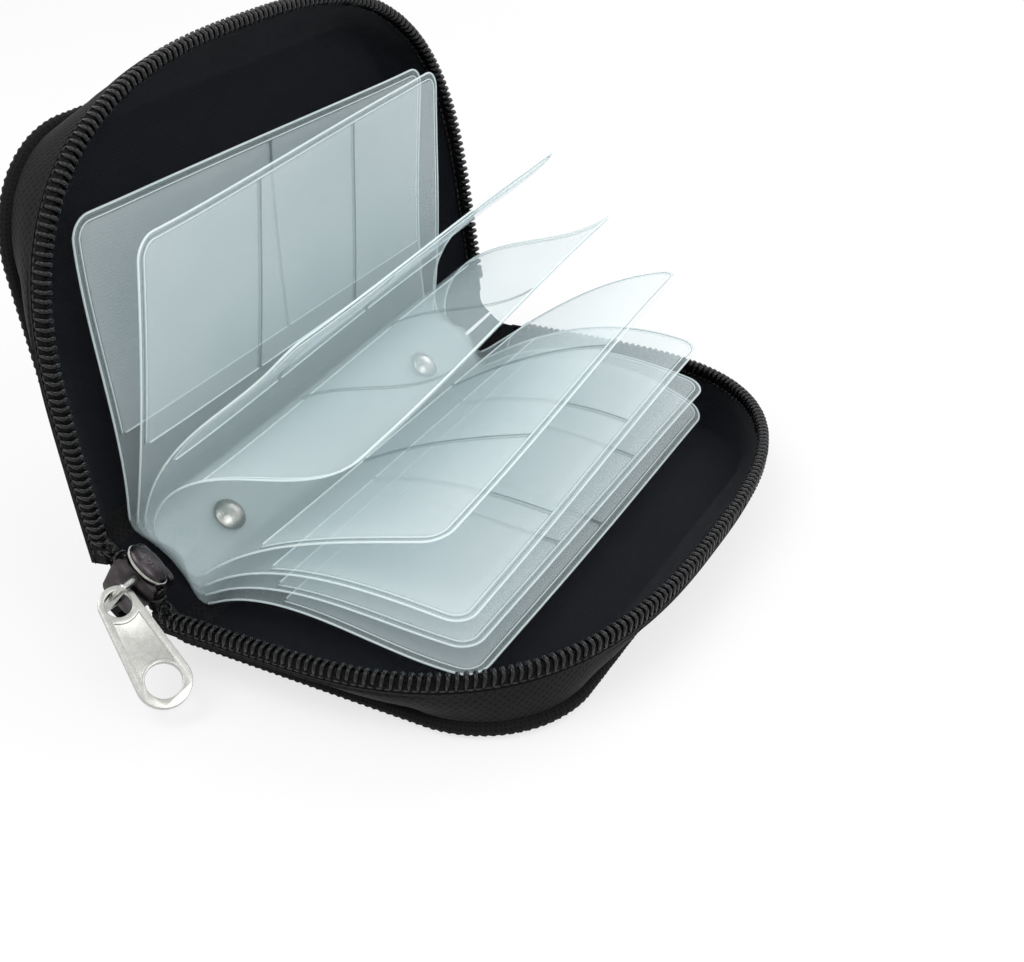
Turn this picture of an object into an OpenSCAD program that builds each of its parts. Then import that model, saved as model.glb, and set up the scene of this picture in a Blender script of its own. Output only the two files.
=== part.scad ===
// Zip-round memory card case, shown standing open: two padded halves joined by a soft spine,
// with a riveted booklet of eight clear pocket pages. Millimetres, +Z up, spine along Y.
// The origin is the centre of the flat underside of the back half.

/* [Case] */
// Length of each half along the spine, over the piping
case_len = 114; // [104:1:140]
// Depth of each half from its hinge line, over the piping
case_depth = 68; // [62:1:90]
// Radius of the outer corners, over the piping
corner_r = 20; // [12:1:26]
// Thickness of one padded panel
panel_t = 3; // [2.4:0.2:4]
// Height of the zip rim above the panel's outer face, at the hinge
rim_h = 12.5; // [11:0.5:16]
// Slope of the zip rim away from the spine, in degrees
rim_slope = 1.5; // [0:0.25:2.5]
// How far the open gusset flares past the piping, on the ends
flare_end = 6; // [3:0.5:8]
// How far the open gusset flares past the piping, on the outer side
flare_side = 6; // [3:0.5:8]
// Angle between the two halves as the case stands open
open_angle = 100; // [80:1:120]

/* [Fabric] */
// Thickness of the outer cloth
cloth_t = 1; // [0.8:0.1:1.2]
// Thickness of the lining
lining_t = 0.6; // [0.4:0.1:0.8]
// Thickness of the gusset wall
gusset_t = 1.2; // [0.8:0.1:1.6]
// Diameter of the corded piping
piping_d = 2.8; // [2.2:0.1:3.2]

/* [Zip] */
// Thickness of the zip tape
tape_t = 0.8; // [0.6:0.1:0.9]
// Width of zip tape that shows above the gusset
tape_w = 5; // [4:0.5:6]
// Distance from one tooth to the next
tooth_pitch = 1.4; // [1.3:0.05:2]
// Height of a tooth across the tape's edge
tooth_h = 2.2; // [1.8:0.1:2.6]
// Length of the slider
slider_l = 9.4; // [8:0.2:10]
// Width of the slider at its mouth
slider_w = 8.6; // [8.2:0.2:9.6]
// Length of the pull tab, end to end
pull_l = 22; // [18:0.5:24]
// Width of the pull tab at its tip
pull_w = 9; // [7.5:0.25:9]

/* [Pages] */
// Length of a page along the spine
page_len = 100; // [84:1:106]
// Depth of a page from its fold to its free edge
page_w = 56; // [46:1:58]
// Corner radius of a page
page_r = 4; // [2:0.5:8]
// Depth of a card pocket
pocket_d = 36; // [30:1:40]
// Width of a welded seam
weld_w = 1.6; // [1:0.2:2.4]
// Thickness of the page film
film_t = 0.5; // [0.3:0.1:0.6]
// Thickness of the pocket film
pocket_film_t = 0.3; // [0.2:0.05:0.4]
// Room between the page and its pocket film
pocket_gap = 0.3; // [0.2:0.05:0.4]
// Diameter of a rivet's domed cap
rivet_cap_d = 6.6; // [5:0.2:8]
// Diameter of a rivet's shank
rivet_d = 2.4; // [2:0.1:3]
// Distance between the two rivets
rivet_span = 68; // [50:1:76]

/* [Hidden] */
$fn = 48;

// Clearances
fit = 0.3;
touch = 0.02;

// Colours
black_cloth = [0.09, 0.09, 0.10];
black_lining = [0.06, 0.06, 0.07];
black_coil = [0.13, 0.13, 0.14];
grey_board = [0.35, 0.33, 0.30];
clear_film = [0.70, 0.78, 0.81, 0.6];
nickel = [0.80, 0.79, 0.77];
gunmetal = [0.30, 0.29, 0.30];

// Hinge lines: the back half turns on line A, the front half on line B, and the spine joins them
hinge_x = -case_depth / 2;
hinge_z = panel_t / 2;
spine_w = 2 * rim_h - panel_t;
spine_angle = 90 + open_angle / 2;

// Points of the spine: a runs from line A to line B, b stands off its middle plane, inwards
function spine_pt(a, b) = [
    hinge_x + a * cos(spine_angle) + b * sin(spine_angle),
    0,
    hinge_z + a * sin(spine_angle) - b * cos(spine_angle)
];

module on_spine() {
    translate(spine_pt(0, 0)) rotate([0, -spine_angle, 0]) mirror([0, 0, 1]) children();
}

// A half is drawn with its hinge line at x = 0 and its outer face at z = 0
module on_back() {
    translate([hinge_x, 0, 0]) children();
}

module on_front() {
    translate(spine_pt(spine_w, 0)) rotate([0, -open_angle, 0]) mirror([0, 0, 1])
        translate([0, 0, -hinge_z]) children();
}

// Outline of a half, drawn in by inset from the outside of the piping: square at the hinge,
// round at the two outer corners
module half_outline(inset, start) {
    half_l = case_len / 2 - inset;
    depth = case_depth - inset;
    r = corner_r - inset;
    translate([start, -half_l]) square([depth - r - start, 2 * half_l]);
    translate([depth - r - 1, -half_l + r]) square([r + 1, 2 * (half_l - r)]);
    for (side = [-1, 1]) translate([depth - r, side * (half_l - r)]) circle(r = r);
}

module half_plate(inset, start, z, t) {
    translate([0, 0, z]) linear_extrude(t) half_outline(inset, start);
}

edge_start = hinge_z + 0.1;
board_inset = piping_d + 2;
module half_cloth() color(black_cloth) half_plate(piping_d, edge_start, 0, cloth_t);
module half_board() color(grey_board)
    half_plate(board_inset, edge_start + 1, cloth_t, panel_t - cloth_t - lining_t);
module half_lining() color(black_lining) half_plate(piping_d, edge_start, panel_t - lining_t, lining_t);
module half_hinge_fold() color(black_cloth)
    translate([0, 0, hinge_z]) rotate([90, 0, 0])
        cylinder(r = hinge_z, h = case_len - 2 * piping_d, center = true);

// Piping: a round cord that follows the outline's edge
piping_in = piping_d / 2;
piping_z = piping_d / 2 + 0.2;
module half_piping() color(black_cloth) translate([0, 0, piping_z]) {
    half_l = case_len / 2 - piping_in;
    r = corner_r - piping_in;
    depth = case_depth - piping_in;
    for (side = [-1, 1]) {
        translate([edge_start, side * half_l, 0]) rotate([0, 90, 0])
            cylinder(d = piping_d, h = depth - r - edge_start);
        translate([depth - r, side * (half_l - r), 0]) rotate([0, 0, side > 0 ? 0 : -90])
            rotate_extrude(angle = 90) translate([r, 0]) circle(d = piping_d);
    }
    translate([depth, -(half_l - r), 0]) rotate([-90, 0, 0]) cylinder(d = piping_d, h = 2 * (half_l - r));
}

// Zip coil and slider: the two rows of teeth keep clear of the post between the slider's plates
divider_w = 1.1;
slider_b = 5.5;
coil_gap = divider_w / 2 + 0.1;
coil_start = slider_b + 0.2;
tooth_wire = 0.62;
tooth_half = tape_t / 2 + tooth_wire + 0.05;
slider_gap = 2 * tooth_half + 1.2;
plate_t = 0.9;
flank_t = 0.6;
slider_neck = 2 * (coil_gap + tooth_h + 0.1 + flank_t);

// Zip rim: a U that bows outwards, straight beside the spine and a superellipse round the outer side
rim_half = case_len / 2 + flare_end;
rim_depth = case_depth + flare_side;
rim_mid_share = 0.31;
rim_mid = rim_depth * rim_mid_share;
rim_power = 2.75;
rim_draw_in = 0.3;
lead_steps = 5;
arc_steps = 22;
arc_bunch = 1.35;
rim_start = 0.5;

function lead_pt(s) = [s, -(rim_half - rim_draw_in * pow((rim_mid - s) / rim_mid, 2))];
function arc_pt(t) = [
    rim_mid + (rim_depth - rim_mid) * pow(sin(t), 2 / rim_power),
    -rim_half * pow(cos(t), 2 / rim_power)
];
// The near half of the U, from the spine to the middle of the outer side
function near_rim(start) = concat(
    [for (i = [0 : lead_steps - 1]) lead_pt(start + (rim_mid - start) * i / lead_steps)],
    [for (i = [0 : arc_steps - 1]) arc_pt(pow(i / arc_steps, arc_bunch) * 90)],
    [[rim_depth, 0]]
);
function rim_path(start) = let (near = near_rim(start), n = len(near))
    concat(near, [for (i = [n - 2 : -1 : 0]) [near[i][0], -near[i][1]]]);

// Nearest point of the panel's outline, at an inset, to a point of the rim, and the way out from it
function core_of(p) = [
    min(p[0], case_depth - corner_r),
    max(-(case_len / 2 - corner_r), min(case_len / 2 - corner_r, p[1]))
];
function out_dir(p) = let (v = p - core_of(p)) v / norm(v);
function edge_pt(p, inset) = core_of(p) + out_dir(p) * (corner_r - inset);

function rim_z(s) = rim_h + s * tan(rim_slope);

// A wall that follows the U: rings holds one closed ring of 3D points for each place on the path
module swept_wall(rings) {
    n = len(rings);
    m = len(rings[0]);
    polyhedron(
        points = [for (ring = rings) each ring],
        faces = concat(
            [[for (j = [m - 1 : -1 : 0]) j]],
            [for (i = [0 : n - 2], j = [0 : m - 1])
                [i * m + j, i * m + (j + 1) % m, (i + 1) * m + (j + 1) % m]],
            [for (i = [0 : n - 2], j = [0 : m - 1])
                [i * m + j, (i + 1) * m + (j + 1) % m, (i + 1) * m + j]],
            [[for (j = [0 : m - 1]) (n - 1) * m + j]]
        ),
        convexity = 6
    );
}

// Gusset: it rises from the piping with a soft belly and ends under the zip tape.
// Each level is a share of the way up and a share of the way out.
gusset_levels = [[0, 0], [0.3, 0.42], [0.62, 0.8], [1, 1]];
gusset_inset = piping_d / 2 + 0.2;
gusset_foot_z = piping_z + piping_d / 2 + touch;
function gusset_pt(p, level, shift) = let (
        foot = edge_pt(p, gusset_inset),
        top_z = rim_z(p[0]) - tape_w,
        q = foot + (p - foot) * level[1] + out_dir(p) * shift
    ) [q[0], q[1], gusset_foot_z + (top_z - gusset_foot_z) * level[0]];
function gusset_ring(p) = concat(
    [for (level = gusset_levels) gusset_pt(p, level, gusset_t / 2)],
    [for (i = [len(gusset_levels) - 1 : -1 : 0]) gusset_pt(p, gusset_levels[i], -gusset_t / 2)]
);
module half_gusset() color(black_cloth) swept_wall([for (p = rim_path(rim_start)) gusset_ring(p)]);

// Zip tape: an upright band on the gusset's top edge
tape_top = coil_gap + tooth_wire + 0.1;
function tape_ring(p) = let (
        d = out_dir(p) * tape_t / 2,
        low = rim_z(p[0]) - tape_w,
        high = rim_z(p[0]) - tape_top
    ) [
        [p[0] + d[0], p[1] + d[1], low], [p[0] + d[0], p[1] + d[1], high],
        [p[0] - d[0], p[1] - d[1], high], [p[0] - d[0], p[1] - d[1], low]
    ];
module half_zip_tape() color(black_cloth) swept_wall([for (p = rim_path(rim_start)) tape_ring(p)]);

// Zip coil: one hoop of the coil after another, each straddling the tape's top edge.
// Places along the U are found by walking its straight steps.
tooth_long = tooth_pitch * 0.56;
function run_length(path) = [for (i = 0, at = 0; i < len(path);
    at = at + (i + 1 < len(path) ? norm(path[i + 1] - path[i]) : 0), i = i + 1) at];
function tooth_place(path, runs, at) = let (
        i = max([for (k = [0 : len(runs) - 2]) if (runs[k] <= at) k]),
        share = (at - runs[i]) / (runs[i + 1] - runs[i]),
        p = path[i] + (path[i + 1] - path[i]) * share,
        v = path[i + 1] - path[i]
    ) [p[0], p[1], atan2(v[1], v[0])];
// Outline of a hoop seen along the zip: rounded head above, two legs astride the tape
hoop_round = 0.55;
module hoop() {
    w = tooth_half;
    head = -coil_gap;
    foot = head - tooth_h;
    slot = -tape_top + touch;
    polygon([
        [-w, foot], [-w, head - hoop_round], [-w + hoop_round, head],
        [w - hoop_round, head], [w, head - hoop_round], [w, foot],
        [w - tooth_wire, foot], [w - tooth_wire, slot], [-w + tooth_wire, slot], [-w + tooth_wire, foot]
    ]);
}
module half_zip_coil() color(black_coil) {
    path = rim_path(coil_start);
    runs = run_length(path);
    total = runs[len(runs) - 1];
    count = floor((total - tooth_pitch) / tooth_pitch);
    for (k = [0 : count]) {
        place = tooth_place(path, runs, tooth_pitch / 2 + k * (total - tooth_pitch) / count);
        translate([place[0], place[1], rim_z(place[0])]) rotate([0, 0, place[2]]) rotate([90, 0, 90])
            translate([0, 0, -tooth_long / 2]) linear_extrude(tooth_long) hoop();
    }
}

// Top stop: a small clamp on the tape past the far end of the coil
stop_l = 2;
stop_s = coil_start - 0.3 - stop_l / 2;
module half_top_stop() color(gunmetal) {
    p = lead_pt(stop_s);
    translate([p[0], -p[1], rim_z(p[0]) - tape_top - 1.1]) difference() {
        translate([-stop_l / 2, -tape_t / 2 - 0.7, -0.9]) cube([stop_l, tape_t + 1.4, 2.4]);
        translate([-stop_l / 2 - 1, -tape_t / 2 - 0.12, -2]) cube([stop_l + 2, tape_t + 0.24, 3.15]);
    }
}

// Spine: cloth outside, a stiffener that takes the rivets, and the lining
spine_in = hinge_z + fit;
spine_half_l = case_len / 2 - piping_d;
spine_board_t = panel_t - cloth_t - lining_t;
rivet_mid = spine_w / 2;
module rivet_places() for (side = [-1, 1]) translate([rivet_mid, side * rivet_span / 2, 0]) children();
module spine_plate(low, t, trim) {
    translate([spine_in + trim, -spine_half_l + trim, low])
        cube([spine_w - 2 * (spine_in + trim), 2 * (spine_half_l - trim), t]);
}
washer_d = rivet_cap_d;
washer_t = 0.5;
module spine_cloth() color(black_cloth) on_spine() spine_plate(-hinge_z, cloth_t, 0);
module spine_board() color(grey_board) on_spine() difference() {
    spine_plate(-hinge_z + cloth_t, spine_board_t, 0.8);
    rivet_places() {
        translate([0, 0, -hinge_z]) cylinder(d = rivet_d + 0.1, h = 2 * panel_t);
        translate([0, 0, -hinge_z + cloth_t - 1]) cylinder(d = washer_d + 0.2, h = 1 + washer_t);
    }
}
module spine_lining() color(black_lining) on_spine() difference() {
    spine_plate(hinge_z - lining_t, lining_t, 0);
    rivet_places() cylinder(d = rivet_d + 0.1, h = 2 * panel_t);
}

// Inner webs: folded cloth that closes each end of the spine, just inside the gussets
web_t = 0.8;
web_in = 1.8;
web_h = rim_h * 0.5;
web_foot_in = 1.4;
web_top_half = 3.2;
module spine_end_webs() color(black_lining) on_spine() for (side = [-1, 1])
    translate([0, side * (spine_half_l - web_in) + web_t / 2, 0]) rotate([90, 0, 0]) linear_extrude(web_t)
        polygon([
            [spine_in + web_foot_in, hinge_z], [spine_w - spine_in - web_foot_in, hinge_z],
            [spine_w / 2 + web_top_half, hinge_z + web_h], [spine_w / 2 - web_top_half, hinge_z + web_h]
        ]);

// Booklet: four sheets folded over each other. Sheet 1 is the outermost, and its two leaves lie
// next to the covers.
sheet_count = 4;
leaf_count = 2 * sheet_count;
fold_pitch = film_t + pocket_gap + pocket_film_t + fit;
fold_rise = film_t + fit;
function fold_half(sheet) = rivet_cap_d / 2 + film_t / 2 + fit + (sheet_count - sheet) * fold_pitch;
function fold_b(sheet) = hinge_z + fit + film_t / 2 + (sheet - 1) * fold_rise;
function leaf_sheet(leaf) = leaf <= sheet_count ? leaf : leaf_count + 1 - leaf;
function leaf_side(leaf) = leaf <= sheet_count ? 1 : -1;
function leaf_hinge(leaf) = spine_pt(
    spine_w / 2 + leaf_side(leaf) * fold_half(leaf_sheet(leaf)), fold_b(leaf_sheet(leaf)));
// Angle of each leaf above the back half, as the open booklet fans out
leaf_angles = [94.1, 83.5, 57.8, 36.3, 29.3, 14.9, 9.7, 5];

module sheet_fold(sheet) color(clear_film) on_spine() difference() {
    translate([spine_w / 2 - fold_half(sheet) + 2 * fit, -page_len / 2, fold_b(sheet) - film_t / 2])
        cube([2 * (fold_half(sheet) - 2 * fit), page_len, film_t]);
    rivet_places() cylinder(d = rivet_d + 0.1, h = 4 * panel_t);
}
module sheet_fold_1() sheet_fold(1);
module sheet_fold_2() sheet_fold(2);
module sheet_fold_3() sheet_fold(3);
module sheet_fold_4() sheet_fold(4);

// Rivets: a domed cap inside the fold, a shank, and a washer behind the stiffener
cap_b = fold_b(sheet_count) + film_t / 2;
cap_h = 1.5;
cap_sphere_r = (pow(rivet_cap_d / 2, 2) + cap_h * cap_h) / (2 * cap_h);
module rivet_caps() color(nickel) on_spine() rivet_places() translate([0, 0, cap_b]) {
    rotate_extrude() intersection() {
        translate([0, cap_h - cap_sphere_r]) circle(r = cap_sphere_r, $fn = 96);
        square([rivet_cap_d / 2, cap_h]);
    }
}
module rivet_shanks() color(nickel) on_spine() rivet_places()
    translate([0, 0, -hinge_z + cloth_t + washer_t])
        cylinder(d = rivet_d, h = cap_b + hinge_z - cloth_t - washer_t);
module rivet_washers() color(nickel) on_spine() rivet_places()
    translate([0, 0, -hinge_z + cloth_t]) cylinder(d = washer_d, h = washer_t);

// Leaves: a film page, and on its inner face a pocket film welded round three sides and between the pockets
module on_leaf(leaf) {
    translate(leaf_hinge(leaf)) rotate([0, -leaf_angles[leaf - 1], 0]) children();
}
module page_outline(start, inset) {
    r = page_r - inset;
    x1 = page_w - inset;
    half_l = page_len / 2 - inset;
    translate([start, -half_l]) square([x1 - r - start, 2 * half_l]);
    translate([x1 - r - 0.5, -half_l + r]) square([r + 0.5, 2 * (half_l - r)]);
    for (side = [-1, 1]) translate([x1 - r, side * (half_l - r)]) circle(r = r);
}
module page_film(leaf) color(clear_film) on_leaf(leaf)
    translate([0, 0, -film_t / 2]) linear_extrude(film_t) page_outline(fit, 0);

// The outermost sheet holds the two wide pockets, and the others hold three
function pocket_count(leaf) = leaf_sheet(leaf) == 1 ? 2 : 3;
module page_pockets(leaf) color(clear_film) on_leaf(leaf) {
    mouth = page_w - pocket_d - weld_w;
    count = pocket_count(leaf);
    clear_l = (page_len - (count + 1) * weld_w) / count;
    up = leaf_side(leaf) < 0;
    depth = pocket_gap + pocket_film_t;
    translate([0, 0, up ? film_t / 2 : -film_t / 2 - depth]) difference() {
        linear_extrude(depth) page_outline(mouth, 0);
        for (k = [0 : count - 1])
            translate([mouth - 1, -page_len / 2 + weld_w + k * (clear_l + weld_w), up ? -1 : pocket_film_t])
                cube([pocket_d + 1, clear_l, pocket_gap + 1]);
    }
}
module page_1_film() page_film(1);
module page_2_film() page_film(2);
module page_3_film() page_film(3);
module page_4_film() page_film(4);
module page_5_film() page_film(5);
module page_6_film() page_film(6);
module page_7_film() page_film(7);
module page_8_film() page_film(8);
module page_1_pockets() page_pockets(1);
module page_2_pockets() page_pockets(2);
module page_3_pockets() page_pockets(3);
module page_4_pockets() page_pockets(4);
module page_5_pockets() page_pockets(5);
module page_6_pockets() page_pockets(6);
module page_7_pockets() page_pockets(7);
module page_8_pockets() page_pockets(8);

// Slider: two plates astride the zip at the spine's near end, a divider at its mouth and four flanges
slider_y = -lead_pt(slider_b + slider_l / 2)[1];
slider_round = 1.6;
slider_mouth = 3.4;
flank_start = 0.8;
flank_l = slider_l * 0.45;
divider_back = 2.8;
divider_l = 2.6;
module slider_outline() {
    r = slider_round;
    polygon([
        [-slider_neck / 2, slider_b + r], [-slider_w / 2, slider_b + slider_l - slider_mouth],
        [-slider_w / 2, slider_b + slider_l - r], [-slider_w / 2 + r, slider_b + slider_l],
        [slider_w / 2 - r, slider_b + slider_l], [slider_w / 2, slider_b + slider_l - r],
        [slider_w / 2, slider_b + slider_l - slider_mouth], [slider_neck / 2, slider_b + r],
        [slider_neck / 2 - r, slider_b], [-slider_neck / 2 + r, slider_b]
    ]);
    for (side = [-1, 1]) {
        translate([side * (slider_neck / 2 - r), slider_b + r]) circle(r = r);
        translate([side * (slider_w / 2 - r), slider_b + slider_l - r]) circle(r = r);
    }
}
// Draws upright pieces beside the spine's near end: x along the spine, y away from it, z outwards
module at_zip_end() {
    on_spine() translate([spine_w / 2, -slider_y, 0]) rotate([90, 0, 0]) children();
}
flank_z = tooth_half + 0.25;
module slider_body() color(gunmetal) at_zip_end() {
    for (side = [-1, 1]) {
        translate([0, 0, side * (slider_gap + plate_t) / 2 - plate_t / 2])
            linear_extrude(plate_t) slider_outline();
        for (flank = [-1, 1]) {
            flank_x = flank * (slider_neck - flank_t) / 2 - flank_t / 2;
            translate([flank_x, slider_b + flank_start, side > 0 ? flank_z : -slider_gap / 2 - touch])
                cube([flank_t, flank_l, slider_gap / 2 + touch - flank_z]);
        }
    }
    translate([-divider_w / 2, slider_b + slider_l - divider_back, -slider_gap / 2 - touch])
        cube([divider_w, divider_l, slider_gap + 2 * touch]);
}

// Bridge: the arched bar on the outer plate that the pull tab hangs from
bar_d = 1.4;
bar_off = 3;
bar_z = slider_gap / 2 + plate_t + bar_off;
bar_half = 3.8;
bar_mid = slider_b + slider_l / 2;
module slider_bridge() color(nickel) at_zip_end() {
    translate([0, bar_mid - bar_half, bar_z]) rotate([-90, 0, 0]) cylinder(d = bar_d, h = 2 * bar_half);
    for (end = [-1, 1]) {
        translate([0, bar_mid + end * bar_half, bar_z]) sphere(d = bar_d);
        translate([0, bar_mid + end * bar_half, bar_z - bar_off]) cylinder(d = bar_d, h = bar_off);
    }
}

// Pull tab: its eye is loose on the bridge's bar, and it hangs down beside the spine's end.
// lean swings it out from there about the bar, and twist turns its face outwards from square to the bar.
pull_lean = 14;
pull_twist = 22;
pull_t = 1.3;
eye_d = 4.4;
eye_rim = 0.95;
eye_slack = 1.3;
tip_hole_d = 6;
window_t = 0.6;
window_rim = 1.2;
module pull_shape(inset) {
    eye_r = eye_d / 2 + eye_rim - inset;
    tip_r = pull_w / 2 - inset;
    span = pull_l - eye_d / 2 - eye_rim - pull_w / 2;
    side = asin((tip_r - eye_r) / span);
    circle(r = eye_r);
    translate([0, span]) circle(r = tip_r);
    polygon([
        [-eye_r * cos(side), -eye_r * sin(side)], [eye_r * cos(side), -eye_r * sin(side)],
        [tip_r * cos(side), span - tip_r * sin(side)], [-tip_r * cos(side), span - tip_r * sin(side)]
    ]);
}
// A plate with its eye at the origin and its tip towards +y
module pull_plate() {
    tip_y = pull_l - eye_d / 2 - eye_rim - pull_w / 2;
    difference() {
        translate([0, 0, -pull_t / 2]) linear_extrude(pull_t) pull_shape(0);
        translate([0, 0, -pull_t]) cylinder(d = eye_d, h = 2 * pull_t);
        translate([0, tip_y, -pull_t]) cylinder(d = tip_hole_d, h = 2 * pull_t);
        for (side = [-1, 1]) translate([0, 0, side > 0 ? window_t / 2 : -pull_t - window_t / 2])
            linear_extrude(pull_t) difference() {
                pull_shape(window_rim);
                circle(r = eye_d / 2 + eye_rim + 0.2);
                translate([0, tip_y]) circle(r = tip_hole_d / 2 + 0.6);
            }
    }
}
module pull_tab() color(nickel) at_zip_end()
    translate([0, bar_mid, bar_z]) rotate([0, pull_lean, 0]) translate([-eye_slack, 0, 0])
        rotate([pull_twist - 90, 0, 0]) rotate([0, 0, 90]) pull_plate();

// Closed end of the zip: a staple under the slider, held by a folded tab of tape on the spine's end
stop_w = 2.2;
stop_h = 1.2;
stop_in = -1.5;
end_tab_w = 5;
end_tab_top = slider_b - fit - 0.05;
module zip_bottom_stop() color(gunmetal) at_zip_end()
    translate([-stop_w / 2, end_tab_top - stop_h, stop_in - 0.4]) difference() {
        cube([stop_w, stop_h + 0.05, 2.6]);
        translate([-1, -1, 0.4 - touch]) cube([stop_w + 2, stop_h + 1, tape_t + 2 * touch]);
    }
module zip_end_tab() color(black_cloth) at_zip_end() {
    foot = slider_y - spine_half_l;
    translate([-end_tab_w / 2, -hinge_z, -foot]) cube([end_tab_w, tape_t, foot + stop_in + tape_t]);
    translate([-stop_w / 2, -hinge_z, stop_in]) cube([stop_w, hinge_z + end_tab_top, tape_t]);
}

module back_cloth() on_back() half_cloth();
module back_board() on_back() half_board();
module back_lining() on_back() half_lining();
module back_piping() on_back() half_piping();
module back_gusset() on_back() half_gusset();
module back_zip_tape() on_back() half_zip_tape();
module back_zip_coil() on_back() half_zip_coil();
module back_hinge_fold() on_back() half_hinge_fold();
module back_top_stop() on_back() half_top_stop();
module front_cloth() on_front() half_cloth();
module front_board() on_front() half_board();
module front_lining() on_front() half_lining();
module front_piping() on_front() half_piping();
module front_gusset() on_front() half_gusset();
module front_zip_tape() on_front() half_zip_tape();
module front_zip_coil() on_front() half_zip_coil();
module front_hinge_fold() on_front() half_hinge_fold();
module front_top_stop() on_front() half_top_stop();

back_cloth();
back_board();
back_lining();
back_piping();
back_gusset();
back_zip_tape();
back_zip_coil();
back_hinge_fold();
back_top_stop();
front_cloth();
front_board();
front_lining();
front_piping();
front_gusset();
front_zip_tape();
front_zip_coil();
front_hinge_fold();
front_top_stop();
spine_cloth();
spine_board();
spine_lining();
spine_end_webs();
zip_end_tab();
zip_bottom_stop();
slider_body();
slider_bridge();
pull_tab();
sheet_fold_1();
sheet_fold_2();
sheet_fold_3();
sheet_fold_4();
rivet_caps();
rivet_shanks();
rivet_washers();
page_1_film();
page_2_film();
page_3_film();
page_4_film();
page_5_film();
page_6_film();
page_7_film();
page_8_film();
page_1_pockets();
page_2_pockets();
page_3_pockets();
page_4_pockets();
page_5_pockets();
page_6_pockets();
page_7_pockets();
page_8_pockets();
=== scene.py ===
"""Looks of an open zip-round memory card case: two padded halves, a soft spine, a zip and a riveted booklet.

Sizes are in millimetres and angles in degrees. A half is described by s, the distance from its hinge
line, y, the place along the spine, and z, the height above its outer face. The spine is described by a,
from the back half's hinge line to the front half's, y, and b, the distance inwards from its middle plane.
"""
import logging
import math
from dataclasses import dataclass
from enum import Enum
from typing import Callable, Sequence

import bmesh
import bpy
from mathutils import Matrix, Vector, noise


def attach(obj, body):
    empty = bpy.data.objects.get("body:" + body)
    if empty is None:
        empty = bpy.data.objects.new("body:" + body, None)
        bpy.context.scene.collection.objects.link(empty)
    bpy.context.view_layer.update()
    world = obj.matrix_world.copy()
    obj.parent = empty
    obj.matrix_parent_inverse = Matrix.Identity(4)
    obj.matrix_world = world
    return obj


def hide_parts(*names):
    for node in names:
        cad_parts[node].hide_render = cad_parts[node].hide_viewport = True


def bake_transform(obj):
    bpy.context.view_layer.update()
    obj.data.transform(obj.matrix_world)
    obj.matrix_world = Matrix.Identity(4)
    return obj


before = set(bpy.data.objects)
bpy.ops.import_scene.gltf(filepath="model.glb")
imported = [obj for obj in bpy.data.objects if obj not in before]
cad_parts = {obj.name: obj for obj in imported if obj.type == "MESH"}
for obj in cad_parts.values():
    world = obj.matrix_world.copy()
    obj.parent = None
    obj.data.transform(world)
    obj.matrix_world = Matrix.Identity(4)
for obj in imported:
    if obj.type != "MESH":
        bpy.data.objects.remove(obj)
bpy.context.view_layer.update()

MM = 0.001
LOG = logging.getLogger("card_case")

Grid = list[list[Vector]]


class Half(Enum):
    """The two padded halves, by the name of the body that each one is."""

    BACK = "back_half"
    FRONT = "front_half"

    @property
    def word(self) -> str:
        """First word of the names of this half's pieces."""
        return self.value.split("_")[0]


class End(Enum):
    """The two ends of the case along the spine, by the sign of y there."""

    NEAR = -1
    FAR = 1


# Mesh helpers


def share(value: float, low: float, high: float) -> float:
    """Smooth step of value from low to high.

    Args:
        value: The number to place.
        low: Where the step starts.
        high: Where the step ends.

    Returns:
        0 before low, 1 after high, and a smooth rise between them.
    """
    t = max(0.0, min(1.0, (value - low) / (high - low)))
    return t * t * (3 - 2 * t)


def spread(low: float, high: float, count: int) -> list[float]:
    """Evenly spaced numbers.

    Args:
        low: The first number.
        high: The last number.
        count: How many there are.

    Returns:
        The numbers, both ends included.
    """
    return [low + (high - low) * i / (count - 1) for i in range(count)]


def new_piece(name: str, points: Sequence[Vector], faces: Sequence[Sequence[int]],
              finish: bpy.types.Material, uvs: Sequence[tuple[float, float]] | None = None,
              sharp: float = 50.0) -> bpy.types.Object:
    """Makes a closed mesh piece from points in millimetres.

    Args:
        name: Name of the piece.
        points: Corners in the frame, in millimetres.
        faces: Corners of each face.
        finish: Material of the piece.
        uvs: Place of each corner on the cloth in centimetres, where a weave follows the surface.
        sharp: Angle above which an edge stays sharp, in degrees.

    Returns:
        The new object, at the origin, with its place in its mesh.
    """
    mesh = bpy.data.meshes.new(name)
    mesh.from_pydata([Vector(p) * MM for p in points], [], [tuple(f) for f in faces])
    if uvs is not None:
        layer = mesh.uv_layers.new(name="UVMap")
        for loop in mesh.loops:
            layer.data[loop.index].uv = uvs[loop.vertex_index]
    work = bmesh.new()
    work.from_mesh(mesh)
    bmesh.ops.remove_doubles(work, verts=work.verts, dist=2e-6)
    bmesh.ops.recalc_face_normals(work, faces=work.faces)
    work.to_mesh(mesh)
    work.free()
    mesh.shade_smooth()
    mesh.set_sharp_from_angle(angle=math.radians(sharp))
    mesh.materials.append(finish)
    piece = bpy.data.objects.new(name, mesh)
    bpy.context.scene.collection.objects.link(piece)
    return piece


def sheet_faces(rows: int, columns: int, first: int = 0, turned: bool = False) -> list[tuple[int, ...]]:
    """Quads of a grid of points.

    Args:
        rows: Number of rows.
        columns: Number of points in a row.
        first: Index of the grid's first point.
        turned: Whether the faces look the other way.

    Returns:
        The quads.
    """
    faces = []
    for i in range(rows - 1):
        for j in range(columns - 1):
            p = first + i * columns + j
            quad = (p, p + 1, p + columns + 1, p + columns)
            faces.append(quad[::-1] if turned else quad)
    return faces


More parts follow.
